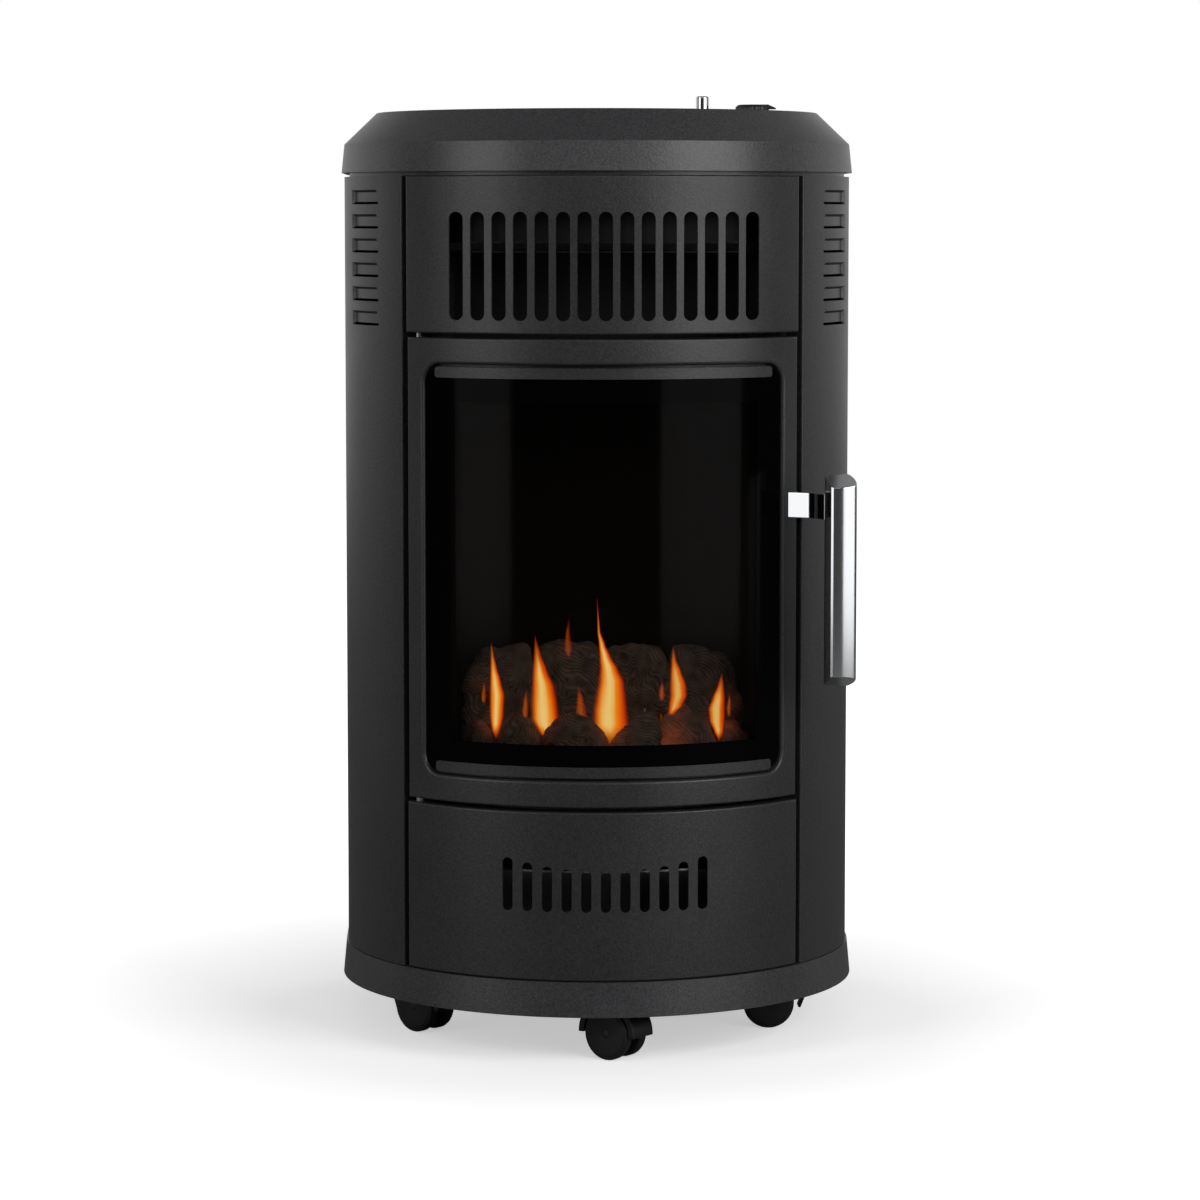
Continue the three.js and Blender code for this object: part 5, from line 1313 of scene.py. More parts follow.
@dataclass(frozen=True)
class Door(Part):
    """The glazed door: its pressed frame, its glass and the glass clamps."""

    size: DoorSize = DoorSize()

    def frame(self) -> None:
        """Makes the pressed frame with its rolled opening."""
        size, fold = self.size, FrontPanels.fold
        half = PLAN.along(SIZE.door_angle) - fold
        outer = (-half, half, SIZE.door_bottom + fold, SIZE.door_top - fold)
        window = PLAN.along(size.window_angle) + size.lip
        inner = (-window, window, size.window_bottom - size.lip, size.window_top + size.lip)
        corner = size.window_corner + size.lip
        bm = flat_sheet(rectangle(outer), [rounded_rectangle(inner, corner)], PLAN.strip)
        x0, x1, z0, z1 = outer
        hole = boundary(bm, lambda p: x0 + NEAR < p.x < x1 - NEAR and z0 + NEAR < p.z < z1 - NEAR)
        fold_sides(bm, outer, fold, size.depth)
        inward = rounded_outward(inner, corner)
        starts = {v: (v.co.copy(), inward(v.co.x, v.co.z)) for e in hole for v in e.verts}
        ends = rolled_edge(bm, hole, inward, size.lip, size.rebate_depth)
        self.rebate(bm, ends, starts)
        wrap(bm)
        finish_piece(
            bm,
            Make(
                "door_frame_shell", Body.DOOR, self.palette.powder, Slot.POWDER_COAT, ("door_frame",),
                thickness=SIZE.sheet, bevel=0.25 * MM, bevel_angle=50,
            ),
        )

    def rebate(
        self, bm: bmesh.types.BMesh, ends: Sequence[bmesh.types.BMEdge],
        starts: dict[bmesh.types.BMVert, tuple[Vector, Point]],
    ) -> None:
        """Carries the rolled opening on into a flange that the glass rests on.

        Args:
            bm: The flat frame.
            ends: The edges at the end of the roll.
            starts: Where the roll starts at each point of the opening, and its direction there.
        """
        size = self.size
        reach = size.lip + size.rebate
        made = bmesh.ops.extrude_edge_only(bm, edges=list(ends))["geom"]
        for vert in (item for item in made if isinstance(item, bmesh.types.BMVert)):
            start, (across, up) = min(
                starts.values(),
                key=lambda s: (
                    Vector((s[0].x + s[1][0] * size.lip, s[0].z + s[1][1] * size.lip))
                    - Vector((vert.co.x, vert.co.z))
                ).length,
            )
            vert.co = Vector((start.x + across * reach, size.rebate_depth, start.z + up * reach))

    def plate(self, box: Box, corner: float, face: float, make: Make) -> None:
        """Makes a bowed plate with round corners.

        Args:
            box: Its left, right, bottom and top.
            corner: Radius of its corners.
            face: Radius of its outer face.
            make: How it is finished.
        """
        flat = flat_sheet(rounded_rectangle(box, corner), [], PLAN.strip)
        wrap(flat, SIZE.radius - face)
        finish_piece(flat, make)

    def glazing(self) -> None:
        """Makes the glass and the two strips that clamp it."""
        size = self.size
        half = PLAN.along(size.glass_angle)
        self.plate(
            (-half, half, size.glass_bottom, size.glass_top),
            size.glass_corner,
            size.glass_inner + size.glass,
            Make(
                "door_glass_pane", Body.DOOR, self.palette.glass, Slot.GLASS, ("door_glass",),
                thickness=size.glass, bevel=0.8 * MM, bevel_angle=60,
            ),
        )
        strip = PLAN.along(size.strip_angle)
        for name, z0, z1 in (
            ("glass_retainer_top", size.strip_top - size.strip_height, size.strip_top),
            ("glass_retainer_bottom", size.strip_bottom, size.strip_bottom + size.strip_height),
        ):
            self.plate(
                (-strip, strip, z0, z1),
                size.strip_corner,
                size.strip_inner + SIZE.sheet,
                Make(
                    name + "_strip", Body.DOOR, self.palette.powder, Slot.POWDER_COAT, (name,),
                    thickness=SIZE.sheet, bevel=0.5 * MM, bevel_angle=60,
                ),
            )

    def build(self) -> None:
        """Makes the door."""
        self.frame()
        self.glazing()


# -------------------- handle


@dataclass(frozen=True)
class HandleSize:
    """The bracket on the door's free stile and the bar that it carries, in the cabinet's plan."""

    foot_angle: float = 44.9
    foot_radius: float = 207.9 * MM
    pad: float = 9.5 * MM
    sheet: float = 2.5 * MM
    bracket_low: float = 429.8 * MM
    bracket_high: float = 449.9 * MM
    flange: float = 12 * MM
    gap: float = 0.3 * MM
    corner: Point = (173.6 * MM, -158.5 * MM)
    turn: float = 12.3
    bar_low: float = 299.0 * MM
    bar_high: float = 464.4 * MM
    slant: float = 0.44
    # Where the arm turns towards the bar, how far on each side the turn reaches, and its facets.
    arm_bend: Point = (164.85 * MM, -141.88 * MM)
    arm_turn: float = 5 * MM
    arm_steps: int = 8


@dataclass(frozen=True)
class Handle(Part):
    """A chrome bar on a bent bracket."""

    size: HandleSize = HandleSize()

    # The bar's section, in millimetres along its back and forward of it.
    section: tuple[Point, ...] = (
        (0, 0), (-0.3, 17.6), (1.6, 19.4), (6.0, 20.2), (10.1, 20.5), (13.6, 20.4), (17.2, 20.0),
        (20.0, 18.9), (21.2, 17.0), (21.8, 14.0), (21.9, 10.8), (21.5, 7.0), (20.5, 3.4), (18.7, 0),
    )

    def bar_point(self, along: float, forward: float) -> Point:
        """Finds a point of the bar's section.

        Args:
            along: How far along the bar's back.
            forward: How far forward of it.

        Returns:
            The point in plan.
        """
        turn = math.radians(self.size.turn)
        x, y = self.size.corner
        return (
            x + along * math.cos(turn) + forward * math.sin(turn),
            y + along * math.sin(turn) - forward * math.cos(turn),
        )

    def bar(self) -> None:
        """The upright bar, cut at a slant at both ends."""
        size = self.size
        plan = [self.bar_point(u * MM, v * MM) for u, v in self.section]
        rings = [
            [(x, y, height + slant * (size.corner[1] - y)) for x, y in plan]
            for height, slant in ((size.bar_low, size.slant), (size.bar_high, -size.slant))
        ]
        finish_piece(
            lofted(rings),
            Make(
                "handle_bar_cast", Body.DOOR, self.palette.satin, Slot.CHROME, ("handle_bar",),
                bevel=0.45 * MM, bevel_angle=28, segments=3,
            ),
        )

    def bracket(self) -> None:
        """The bracket: a pad on the stile, a bent arm and a flange behind the bar."""
        size = self.size
        angles = (size.foot_angle + math.degrees(size.pad / size.foot_radius), size.foot_angle)
        pad = [
            (
                size.foot_radius * math.sin(math.radians(a)),
                SIZE.centre_y - size.foot_radius * math.cos(math.radians(a)),
            )
            for a in angles
        ]
        bend, end = Vector(size.arm_bend), Vector(self.bar_point(0, -size.gap))
        enter = bend + (Vector(pad[1]) - bend).normalized() * size.arm_turn
        leave = bend + (end - bend).normalized() * size.arm_turn
        arm = []
        for i in range(size.arm_steps + 1):
            t = i / size.arm_steps
            point = enter * (1 - t) ** 2 + bend * 2 * t * (1 - t) + leave * t**2
            arm.append((point.x, point.y))
        arm.append((end.x, end.y))
        path = [*pad, *arm, self.bar_point(size.flange, -size.gap)]
        finish_piece(
            standing(strip(path, size.sheet), size.bracket_low, size.bracket_high),
            Make(
                "handle_bracket_plate", Body.DOOR, self.palette.chrome, Slot.CHROME, ("handle_bracket",),
                bevel=0.5 * MM, bevel_angle=28, segments=3,
            ),
        )

    def build(self) -> None:
        """Makes the handle."""
        self.bar()
        self.bracket()


# -------------------- controls


@dataclass(frozen=True)
class Controls(Part):
    """The knob, its bezel and the igniter button in the lid."""

    knob_x: float = 130 * MM
    button_x: float = 88.7 * MM
    y: float = 40 * MM
    spindle_hole: float = 3.8 * MM
    button_hole: float = 6.3 * MM
    button_radius: float = 5.5 * MM
    button_top: float = 767.2 * MM
    button_bottom: float = 724.2 * MM
    # The button's upper edge, in millimetres in from its side and down from its top.
    button_edge: tuple[Point, ...] = ((0, 1.4), (0.4, 0.5), (1.2, 0))
    knob_radius: float = 14 * MM
    knob_bottom: float = 755.3 * MM
    knob_top: float = 760.3 * MM
    # The knob's side, in millimetres: up from its bottom, in from its radius, and how deep its flutes are.
    knob_side: tuple[tuple[float, float, float], ...] = (
        (0.0, 0.8, 0.0), (0.4, 0.2, 0.4), (1.0, 0.0, 0.5), (3.0, 0.2, 0.5), (3.8, 1.0, 0.25),
        (4.6, 2.0, 0.0), (5.0, 3.2, 0.0),
    )
    flutes: int = 24
    flute_facets: int = 6
    spindle_radius: float = 3 * MM
    spindle_bottom: float = 730 * MM
    spindle_overlap: float = 0.5 * MM
    nose_reach: float = 19.5 * MM
    nose_half: float = 4 * MM
    nose_bottom: float = 756.4 * MM
    nose_tip: float = 1 * MM
    nose_lift: float = 0.2 * MM
    bezel_inner: float = 15 * MM
    bezel_outer: float = 19 * MM
    bezel_bottom: float = 752.3 * MM
    bezel_top: float = 753.1 * MM
    bezel_drop: float = 0.3 * MM
    bezel_outer_cut: float = 0.5 * MM
    bezel_inner_cut: float = 0.4 * MM

    def button(self) -> None:
        """Makes the igniter's chrome button."""
        radius, top = self.button_radius, self.button_top
        edge = [(radius - inward * MM, top - down * MM) for inward, down in self.button_edge]
        profile = [(0, self.button_bottom), (radius, self.button_bottom), *edge, (0, top)]
        bm = turned(profile, self.button_x, self.y)
        finish_piece(
            bm,
            Make("igniter_button_cap", Body.BUTTON, self.palette.chrome, Slot.CHROME, ("igniter_button",)),
        )

    def knob(self) -> None:
        """Makes the knob: a fluted disc on a spindle, with a pointed nose."""
        low, high, radius = self.knob_bottom, self.knob_top, self.knob_radius
        steps = self.flutes * self.flute_facets
        loops = []
        for up, inward, depth in self.knob_side:
            loop = []
            for i in range(steps):
                angle = math.tau * i / steps
                r = radius - inward * MM - depth * MM * (0.5 + 0.5 * math.cos(self.flutes * angle))
                place = (self.knob_x + r * math.cos(angle), self.y + r * math.sin(angle))
                loop.append((*place, low + up * MM))
            loops.append(loop)
        spindle_top = low + self.spindle_overlap
        spindle = turned(
            [
                (0, self.spindle_bottom), (self.spindle_radius, self.spindle_bottom),
                (self.spindle_radius, spindle_top), (0, spindle_top),
            ],
            self.knob_x,
            self.y,
            steps=24,
        )
        nose = upright(
            [
                (0, self.nose_bottom), (self.nose_reach, self.nose_bottom),
                (self.nose_reach, self.nose_bottom + self.nose_tip), (radius - self.nose_tip, high),
                (0, high),
            ],
            self.nose_half,
        )
        moved(nose, Matrix.Translation((self.knob_x, self.y, self.nose_lift)))
        finish_piece(
            joined([lofted(loops), spindle, nose]),
            Make(
                "control_knob_grip", Body.KNOB, self.palette.plastic, Slot.BLACK_PLASTIC,
                ("control_knob",), bevel=0.3 * MM, bevel_angle=50,
            ),
        )

    def bezel(self) -> None:
        """Makes the flat ring that the knob turns over."""
        inner, outer = self.bezel_inner, self.bezel_outer
        low, high = self.bezel_bottom, self.bezel_top
        section = [
            (inner, low), (outer, low), (outer, high - self.bezel_drop),
            (outer - self.bezel_outer_cut, high), (inner + self.bezel_inner_cut, high),
            (inner, high - self.bezel_drop), (inner, low),
        ]
        finish_piece(
            turned(section, self.knob_x, self.y, steps=64),
            Make("knob_bezel_ring", Body.CABINET, self.palette.stove, Slot.DARK_STEEL, ("knob_bezel",)),
        )

    def build(self) -> None:
        """Makes the controls."""
        self.button()
        self.knob()
        self.bezel()


# -------------------- rear cover


@dataclass(frozen=True)
class RearCover(Part):
    """The lift-off cover over the cylinder bay: a shallow pan with vents and a grip opening."""

    half_width: float = 199.6 * MM
    bottom: float = 73.5 * MM
    top: float = 695.1 * MM
    face: float = 194.4 * MM
    depth: float = 13.5 * MM
    fold: float = 2.5 * MM
    vents: int = 7
    vent_pitch: float = 16 * MM
    vent_length: float = 90 * MM
    vent_width: float = 6 * MM
    vent_from_bottom: float = 50 * MM
    vent_from_middle: float = 16 * MM
    grip_length: float = 96 * MM
    grip_width: float = 26 * MM
    grip_from_top: float = 60 * MM
    strip: float = 40 * MM

    def lying(self, x: float, z: float, length: float, width: float) -> list[Point]:
        """A slot that lies along X."""
        return [(x + b, z + a) for a, b in stadium(0, -length / 2, length / 2, width)]

    def build(self) -> None:
        """Makes the cover."""
        fold = self.fold
        pan = (-self.half_width + fold, self.half_width - fold, self.bottom + fold, self.top - fold)
        holes = [self.lying(0, self.top - self.grip_from_top, self.grip_length, self.grip_width)]
        for row in range(self.vents):
            height = self.bottom + self.vent_from_bottom + row * self.vent_pitch
            for side in (-1, 1):
                x = side * (self.vent_length / 2 + self.vent_from_middle)
                holes.append(self.lying(x, height, self.vent_length, self.vent_width))
        bm = flat_sheet(rectangle(pan), holes, self.strip)
        fold_sides(bm, pan, fold, self.depth)
        moved(bm, Matrix.Translation((0, self.face, 0)) @ Matrix.Rotation(math.pi, 4, "Z"))
        finish_piece(
            bm,
            Make(
                "rear_cover_pan", Body.REAR, self.palette.powder, Slot.POWDER_COAT, ("rear_cover",),
                thickness=SIZE.sheet, bevel=0.3 * MM, bevel_angle=50,
            ),
        )


# -------------------- castors


@dataclass(frozen=True)
class CastorPlace:
    """Where a castor's stem is, and the way that its wheels trail, in degrees from +X."""

    name: str
    x: float
    y: float
    heading: float
    brake: bool = False

    def matrix(self) -> Matrix:
        """Moves a castor drawn on the axis into its place."""
        return Matrix.Translation((self.x, self.y, 0)) @ Matrix.Rotation(math.radians(self.heading), 4, "Z")


@dataclass(frozen=True)
class Castors(Part):
    """Five twin-wheel castors: a hood on a stem, two wheels on an axle, and a brake on two of them."""

    places: tuple[CastorPlace, ...] = (
        CastorPlace("front", 0.0, -147 * MM, -39.7),
        CastorPlace("left", -152 * MM, -32 * MM, -45.0, True),
        CastorPlace("right", 152 * MM, -32 * MM, 180.0, True),
        CastorPlace("rear_left", -150 * MM, 148 * MM, 105.0),
        CastorPlace("rear_right", 150 * MM, 148 * MM, 60.0),
    )
    trail: float = 12 * MM
    wheel_radius: float = 21 * MM
    hood_inner: float = 22.3 * MM
    hood_outer: float = 27.5 * MM
    hood_half: float = 13 * MM
    web_half: float = 4 * MM
    lever_half: float = 7 * MM
    # Where the hood and its web start and end, in degrees round the axle from straight back.
    hood_start: float = -2.0
    hood_end: float = 182.0
    brake_hood_end: float = 165.0
    web_start: float = -4.0
    web_inset: float = 1 * MM
    hood_steps: int = 44
    # The stem's section, in millimetres: radius, and height above the floor.
    stem_section: tuple[Point, ...] = (
        (0, 42.8), (9, 42.8), (9, 49.8), (4, 49.8), (4, 64.9), (3.2, 65.7), (0, 65.7),
    )
    # The lug that a brake lever hangs from, in millimetres from the stem and up from the floor.
    lug_section: tuple[Point, ...] = ((-15.9, 31), (-10.9, 31), (-10.9, 33), (-15.9, 33))
    # Half of the wheels' section, in millimetres: radius, and way out from the middle.
    wheel_section: tuple[Point, ...] = (
        (3, 5), (19, 5), (20.5, 5.7), (21, 7.2), (21, 12), (20.6, 13), (19.6, 13.6), (18.9, 13.4),
        (18.5, 13.5), (18.2, 14), (17.4, 14.4), (10, 14.6), (4.6, 14.5), (4.2, 14.1), (3.5, 14.1),
        (3.2, 14.5), (0, 14.6),
    )
    # The brake lever's side view, in millimetres ahead of the axle and up from the floor.
    lever_section: tuple[Point, ...] = (
        (28.2, 33), (30.2, 33), (30.2, 24), (26.8, 15.5), (24.8, 16.2), (28.2, 25),
    )

    def round_axle(self, radius: float, start: float, end: float) -> list[Point]:
        """Draws an arc round the axle, in the plane of the wheels.

        Args:
            radius: Its radius.
            start: Angle of its first point, in degrees from straight back.
            end: Angle of its last point.

        Returns:
            Its points.
        """
        return arc((self.trail, self.wheel_radius), radius, start, end - start, self.hood_steps)

    def hood(self, place: CastorPlace) -> None:
        """Makes the hood over the wheels, its web between them and the stem above.

        Args:
            place: Where the castor is.
        """
        start, end = self.hood_start, self.brake_hood_end if place.brake else self.hood_end
        outer = self.round_axle(self.hood_outer, start, end)
        guard = upright(outer + self.round_axle(self.hood_inner, end, start), self.hood_half)
        web_reach = self.hood_outer - self.web_inset
        web = upright(self.round_axle(web_reach, self.web_start, end), self.web_half)
        section = [(radius * MM, height * MM) for radius, height in self.stem_section]
        parts = [guard, web, turned(section, 0, 0, steps=32)]
        if place.brake:
            lug = [(x * MM, z * MM) for x, z in self.lug_section]
            parts.append(upright(lug, self.lever_half))
        finish_piece(
            moved(joined(parts), place.matrix()),
            Make(
                f"castor_hood_{place.name}_moulding", f"castor_{place.name}", self.palette.plastic,
                Slot.BLACK_PLASTIC, (f"castor_hood_{place.name}",), bevel=1.1 * MM, bevel_angle=40,
                segments=3,
            ),
        )

    def wheels(self, place: CastorPlace) -> None:
        """Makes both wheels and their axle.

        Args:
            place: Where the castor is.
        """
        half = [(radius * MM, out * MM) for radius, out in self.wheel_section]
        bm = turned([(radius, -out) for radius, out in reversed(half)] + half, 0, 0, steps=72)
        moved(bm, Matrix.Rotation(-math.pi / 2, 4, "X"))
        moved(bm, place.matrix() @ Matrix.Translation((self.trail, 0, self.wheel_radius)))
        finish_piece(
            bm,
            Make(
                f"castor_wheels_{place.name}_turned", f"castor_wheels_{place.name}", self.palette.tyre,
                Slot.TYRE, (f"castor_wheels_{place.name}",),
            ),
        )

    def lever(self, place: CastorPlace) -> None:
        """Makes the brake lever that hangs ahead of the wheels.

        Args:
            place: Where the castor is.
        """
        side = [(self.trail - reach * MM, height * MM) for reach, height in self.lever_section]
        finish_piece(
            moved(upright(side, self.lever_half), place.matrix()),
            Make(
                f"castor_brake_{place.name}_lever", f"castor_brake_{place.name}", self.palette.plastic,
                Slot.BLACK_PLASTIC, (f"castor_brake_{place.name}",), bevel=0.4 * MM, bevel_angle=30,
            ),
        )

    def build(self) -> None:
        """Makes every castor."""
        for place in self.places:
            self.hood(place)
            self.wheels(place)
            if place.brake:
                self.lever(place)


# -------------------- fire


@dataclass(frozen=True)
class Flame:
    """One tongue of flame.

    Attributes:
        x: Where it stands, across the cabinet.
        y: Where it stands, from front to back.
        rows: Height, left edge and right edge of its outline, in millimetres, from the foot up.
        heat: How bright it is.
    """

    x: float
    y: float
    rows: tuple[tuple[float, float, float], ...]
    heat: float = 1.0


@dataclass(frozen=True)
class Flames(Part):
    """The gas flames that rise between the front coals."""

    tongues: tuple[Flame, ...] = (
        Flame(
            -85.1 * MM,
            -131 * MM,
            (
                (253, -0.5, 0.5), (260, -3.2, 3.0), (272, -4.4, 5.4), (288, -4.4, 6.3), (299, -4.3, 3.6),
                (311, -4.3, 0.4), (322, -4.3, -2.0), (331, -4.0, -3.6),
            ),
        ),
        Flame(
            -43.5 * MM,
            -150 * MM,
            (
                (253, -1.0, 1.0), (261, -7.5, 4.5), (272, -12.4, 7.0), (284, -12.7, 6.0),
                (296, -12.3, 4.0), (311, -12.0, -2.0), (323, -11.6, -6.5), (338, -11.2, -10.7),
            ),
        ),
        Flame(
            5.5 * MM,
            -158 * MM,
            (
                (249, -2.5, 3.0), (256, -9.5, 13.0), (266, -12.2, 13.0), (278, -12.2, 11.9),
                (291, -10.5, 10.7), (302, -8.6, 9.5), (312, -8.0, 5.0), (322, -8.7, -0.8),
                (331, -9.5, -4.8), (342, -10.8, -8.8), (368, -11.3, -10.9),
            ),
        ),
        Flame(
            53 * MM,
            -152 * MM,
            (
                (271, -1.5, -0.5), (276, -1.8, 3.5), (282, -1.0, 9.0), (290, 0.0, 12.5), (298, 0.0, 12.0),
                (309, 0.2, 8.0), (319, 0.6, 4.2), (330, 1.3, 1.9),
            ),
            0.85,
        ),
        Flame(
            92.7 * MM,
            -134 * MM,
            (
                (251, -0.6, 0.6), (258, -3.5, 3.0), (268, -7.4, 4.0), (277, -8.0, 4.0), (286, -5.0, 4.0),
                (296, -1.2, 3.5), (306, 1.6, 2.2),
            ),
            0.9,
        ),
        Flame(
            -27 * MM, -120 * MM, ((316, -1.0, 1.0), (325, -3.5, 2.5), (336, -2.5, 1.0), (349, 0.0, 0.5)),
            0.22,
        ),
        Flame(
            -17 * MM, -140 * MM, ((264, -2, 2), (275, -5.0, 4.0), (287, -4.0, 1.0), (298, -3.0, -2.4)),
            0.3,
        ),
        Flame(
            -62 * MM, -142 * MM, ((268, -1, 1), (277, -2.6, 2.4), (285, -1.5, 2.0), (294, 0.4, 0.8)),
            0.32,
        ),
        Flame(
            -95 * MM, -128 * MM, ((281, -1, 1), (287, -2.0, 2.0), (293, -1.0, 1.5), (300, 0.2, 0.6)), 0.3,
        ),
        Flame(
            46 * MM, -150 * MM, ((285, -1, 1), (290, -2.4, 2.4), (296, -1.4, 1.6), (302, 0.0, 0.5)), 0.3,
        ),
        Flame(
            101 * MM, -126 * MM, ((269, -1, 1), (276, -2.0, 1.6), (283, -0.8, 1.2), (290, 0.2, 0.6)), 0.3,
        ),
    )
    columns: int = 16
    levels: int = 44
    # How far a sheet reaches past the outline, and how deep the crossing sheet is, as shares of the width.
    fringe: float = 0.14
    depth: float = 0.6
    # Shares of the height over which the foot and the tip fade.
    foot_fade: float = 0.16
    tip_fade: float = 0.42
    # Where the core is across the sheet, how far it reaches and how fast it falls off.
    core: float = 0.44
    core_reach: float = 0.5
    core_power: float = 0.75
    # Heat left at the foot and the tip, how fast it falls off at the tip, and the gain on it all.
    foot_heat: float = 0.35
    tip_heat: float = 0.42
    tip_power: float = 0.8
    gain: float = 1.1
    # Heat that even the faintest flame keeps.
    faint_heat: float = 0.5
    # The streaks in the heat: their strength, how often they change across and up the sheet, and how
    # far apart in the noise two flames that stand a metre apart are.
    streak: float = 0.22
    streak_across: float = 7
    streak_up: float = 2.6
    streak_shift: float = 900
    # How fast the cover rises from the edge, the foot and the tip, and the least cover at the tip.
    edge_rise: float = 2.2
    foot_rise: float = 1.3
    tip_rise: float = 1.1
    tip_cover: float = 0.12

    def outline(self, flame: Flame, height: float) -> Point:
        """Finds the edges of a flame at a height, half smoothed between its rows.

        Args:
            flame: The flame.
            height: The height, in millimetres.

        Returns:
            Its left and right edge there, in millimetres from its middle.
        """
        rows = flame.rows
        for (z0, l0, r0), (z1, l1, r1) in zip(rows, rows[1:]):
            if height <= z1:
                t = (height - z0) / (z1 - z0)
                t = (smooth(t) + t) / 2
                return l0 + (l1 - l0) * t, r0 + (r1 - r0) * t
        return rows[-1][1], rows[-1][2]

    def glow(self, flame: Flame, side: float, rise: float) -> tuple[float, float]:
        """Works out how a flame looks at a point of its sheet.

        Args:
            flame: The flame.
            side: How far across the sheet the point is, from 0 to 1.
            rise: How far up it is, from 0 to 1.

        Returns:
            Its heat and its cover there.
        """
        core = max(0.0, 1 - abs(side - self.core) / self.core_reach)
        foot = min(1.0, rise / self.foot_fade)
        tip = min(1.0, (1 - rise) / self.tip_fade)
        spot = Vector((side * self.streak_across + flame.x * self.streak_shift, rise * self.streak_up, 0))
        heat = core**self.core_power * (self.foot_heat + (1 - self.foot_heat) * foot)
        heat *= (self.tip_heat + (1 - self.tip_heat) * tip**self.tip_power) * self.gain
        heat += noise.noise(spot) * self.streak * core
        cover = smooth(min(1.0, (1 - abs(2 * side - 1)) * self.edge_rise))
        cover *= min(1.0, foot * self.foot_rise) * min(1.0, self.tip_cover + tip * self.tip_rise)
        bright = self.faint_heat + (1 - self.faint_heat) * flame.heat
        return min(max(heat, 0.0), 1.0) * bright, cover * flame.heat

    def sheet(self, flame: Flame, across: bool) -> bmesh.types.BMesh:
        """Makes one of a flame's two crossing sheets.

        Args:
            flame: The flame.
            across: Whether the sheet lies across the cabinet.

        Returns:
            The sheet, with its heat and cover at each point.
        """
        bm = bmesh.new()
        bmesh.ops.create_grid(bm, x_segments=self.columns, y_segments=self.levels, size=0.5)
        layer = bm.verts.layers.float_color.new("tongue")
        low, high = flame.rows[0][0], flame.rows[-1][0]
        for vert in bm.verts:
            side, rise = vert.co.x + 0.5, vert.co.y + 0.5
            height = low + (high - low) * rise
            left, right = self.outline(flame, height)
            vert[layer] = (*self.glow(flame, side, rise), rise, 1.0)
            spread = (right - left) * self.fringe
            reach = left - spread + (right - left + 2 * spread) * side
            if across:
                vert.co = Vector((flame.x + reach * MM, flame.y, height * MM))
            else:
                middle = (left + right) / 2
                back = (reach - middle) * self.depth * MM
                vert.co = Vector((flame.x + middle * MM, flame.y + back, height * MM))
        return bm

    def build(self) -> None:
        """Makes every flame as one piece, which casts no shadow and lights nothing around it."""
        sheets = [self.sheet(flame, across) for flame in self.tongues for across in (True, False)]
        piece = finish_piece(
            joined(sheets), Make("gas_flames", Body.CABINET, self.palette.flame, Slot.COAL)
        )
        piece.visible_shadow = False
        piece.visible_diffuse = False


@dataclass(frozen=True)
class Stone:
    """One ceramic coal, in the cabinet's plan."""

    x: float
    y: float
    width: float
    depth: float
    height: float
    turn: float
    seed: float
    fullness: float
    # Strength of a red glow painted on the coal.
    painted_glow: float = 0.0


@dataclass(frozen=True)
class Bump:
    """One layer of a coal's relief: the size of its lumps, and its strength."""

    size: float
    strength: float

    def at(self, place: Vector, shift: Vector) -> float:
        """Its value at a place, with the noise shifted."""
        return noise.noise(place / self.size + shift) * self.strength


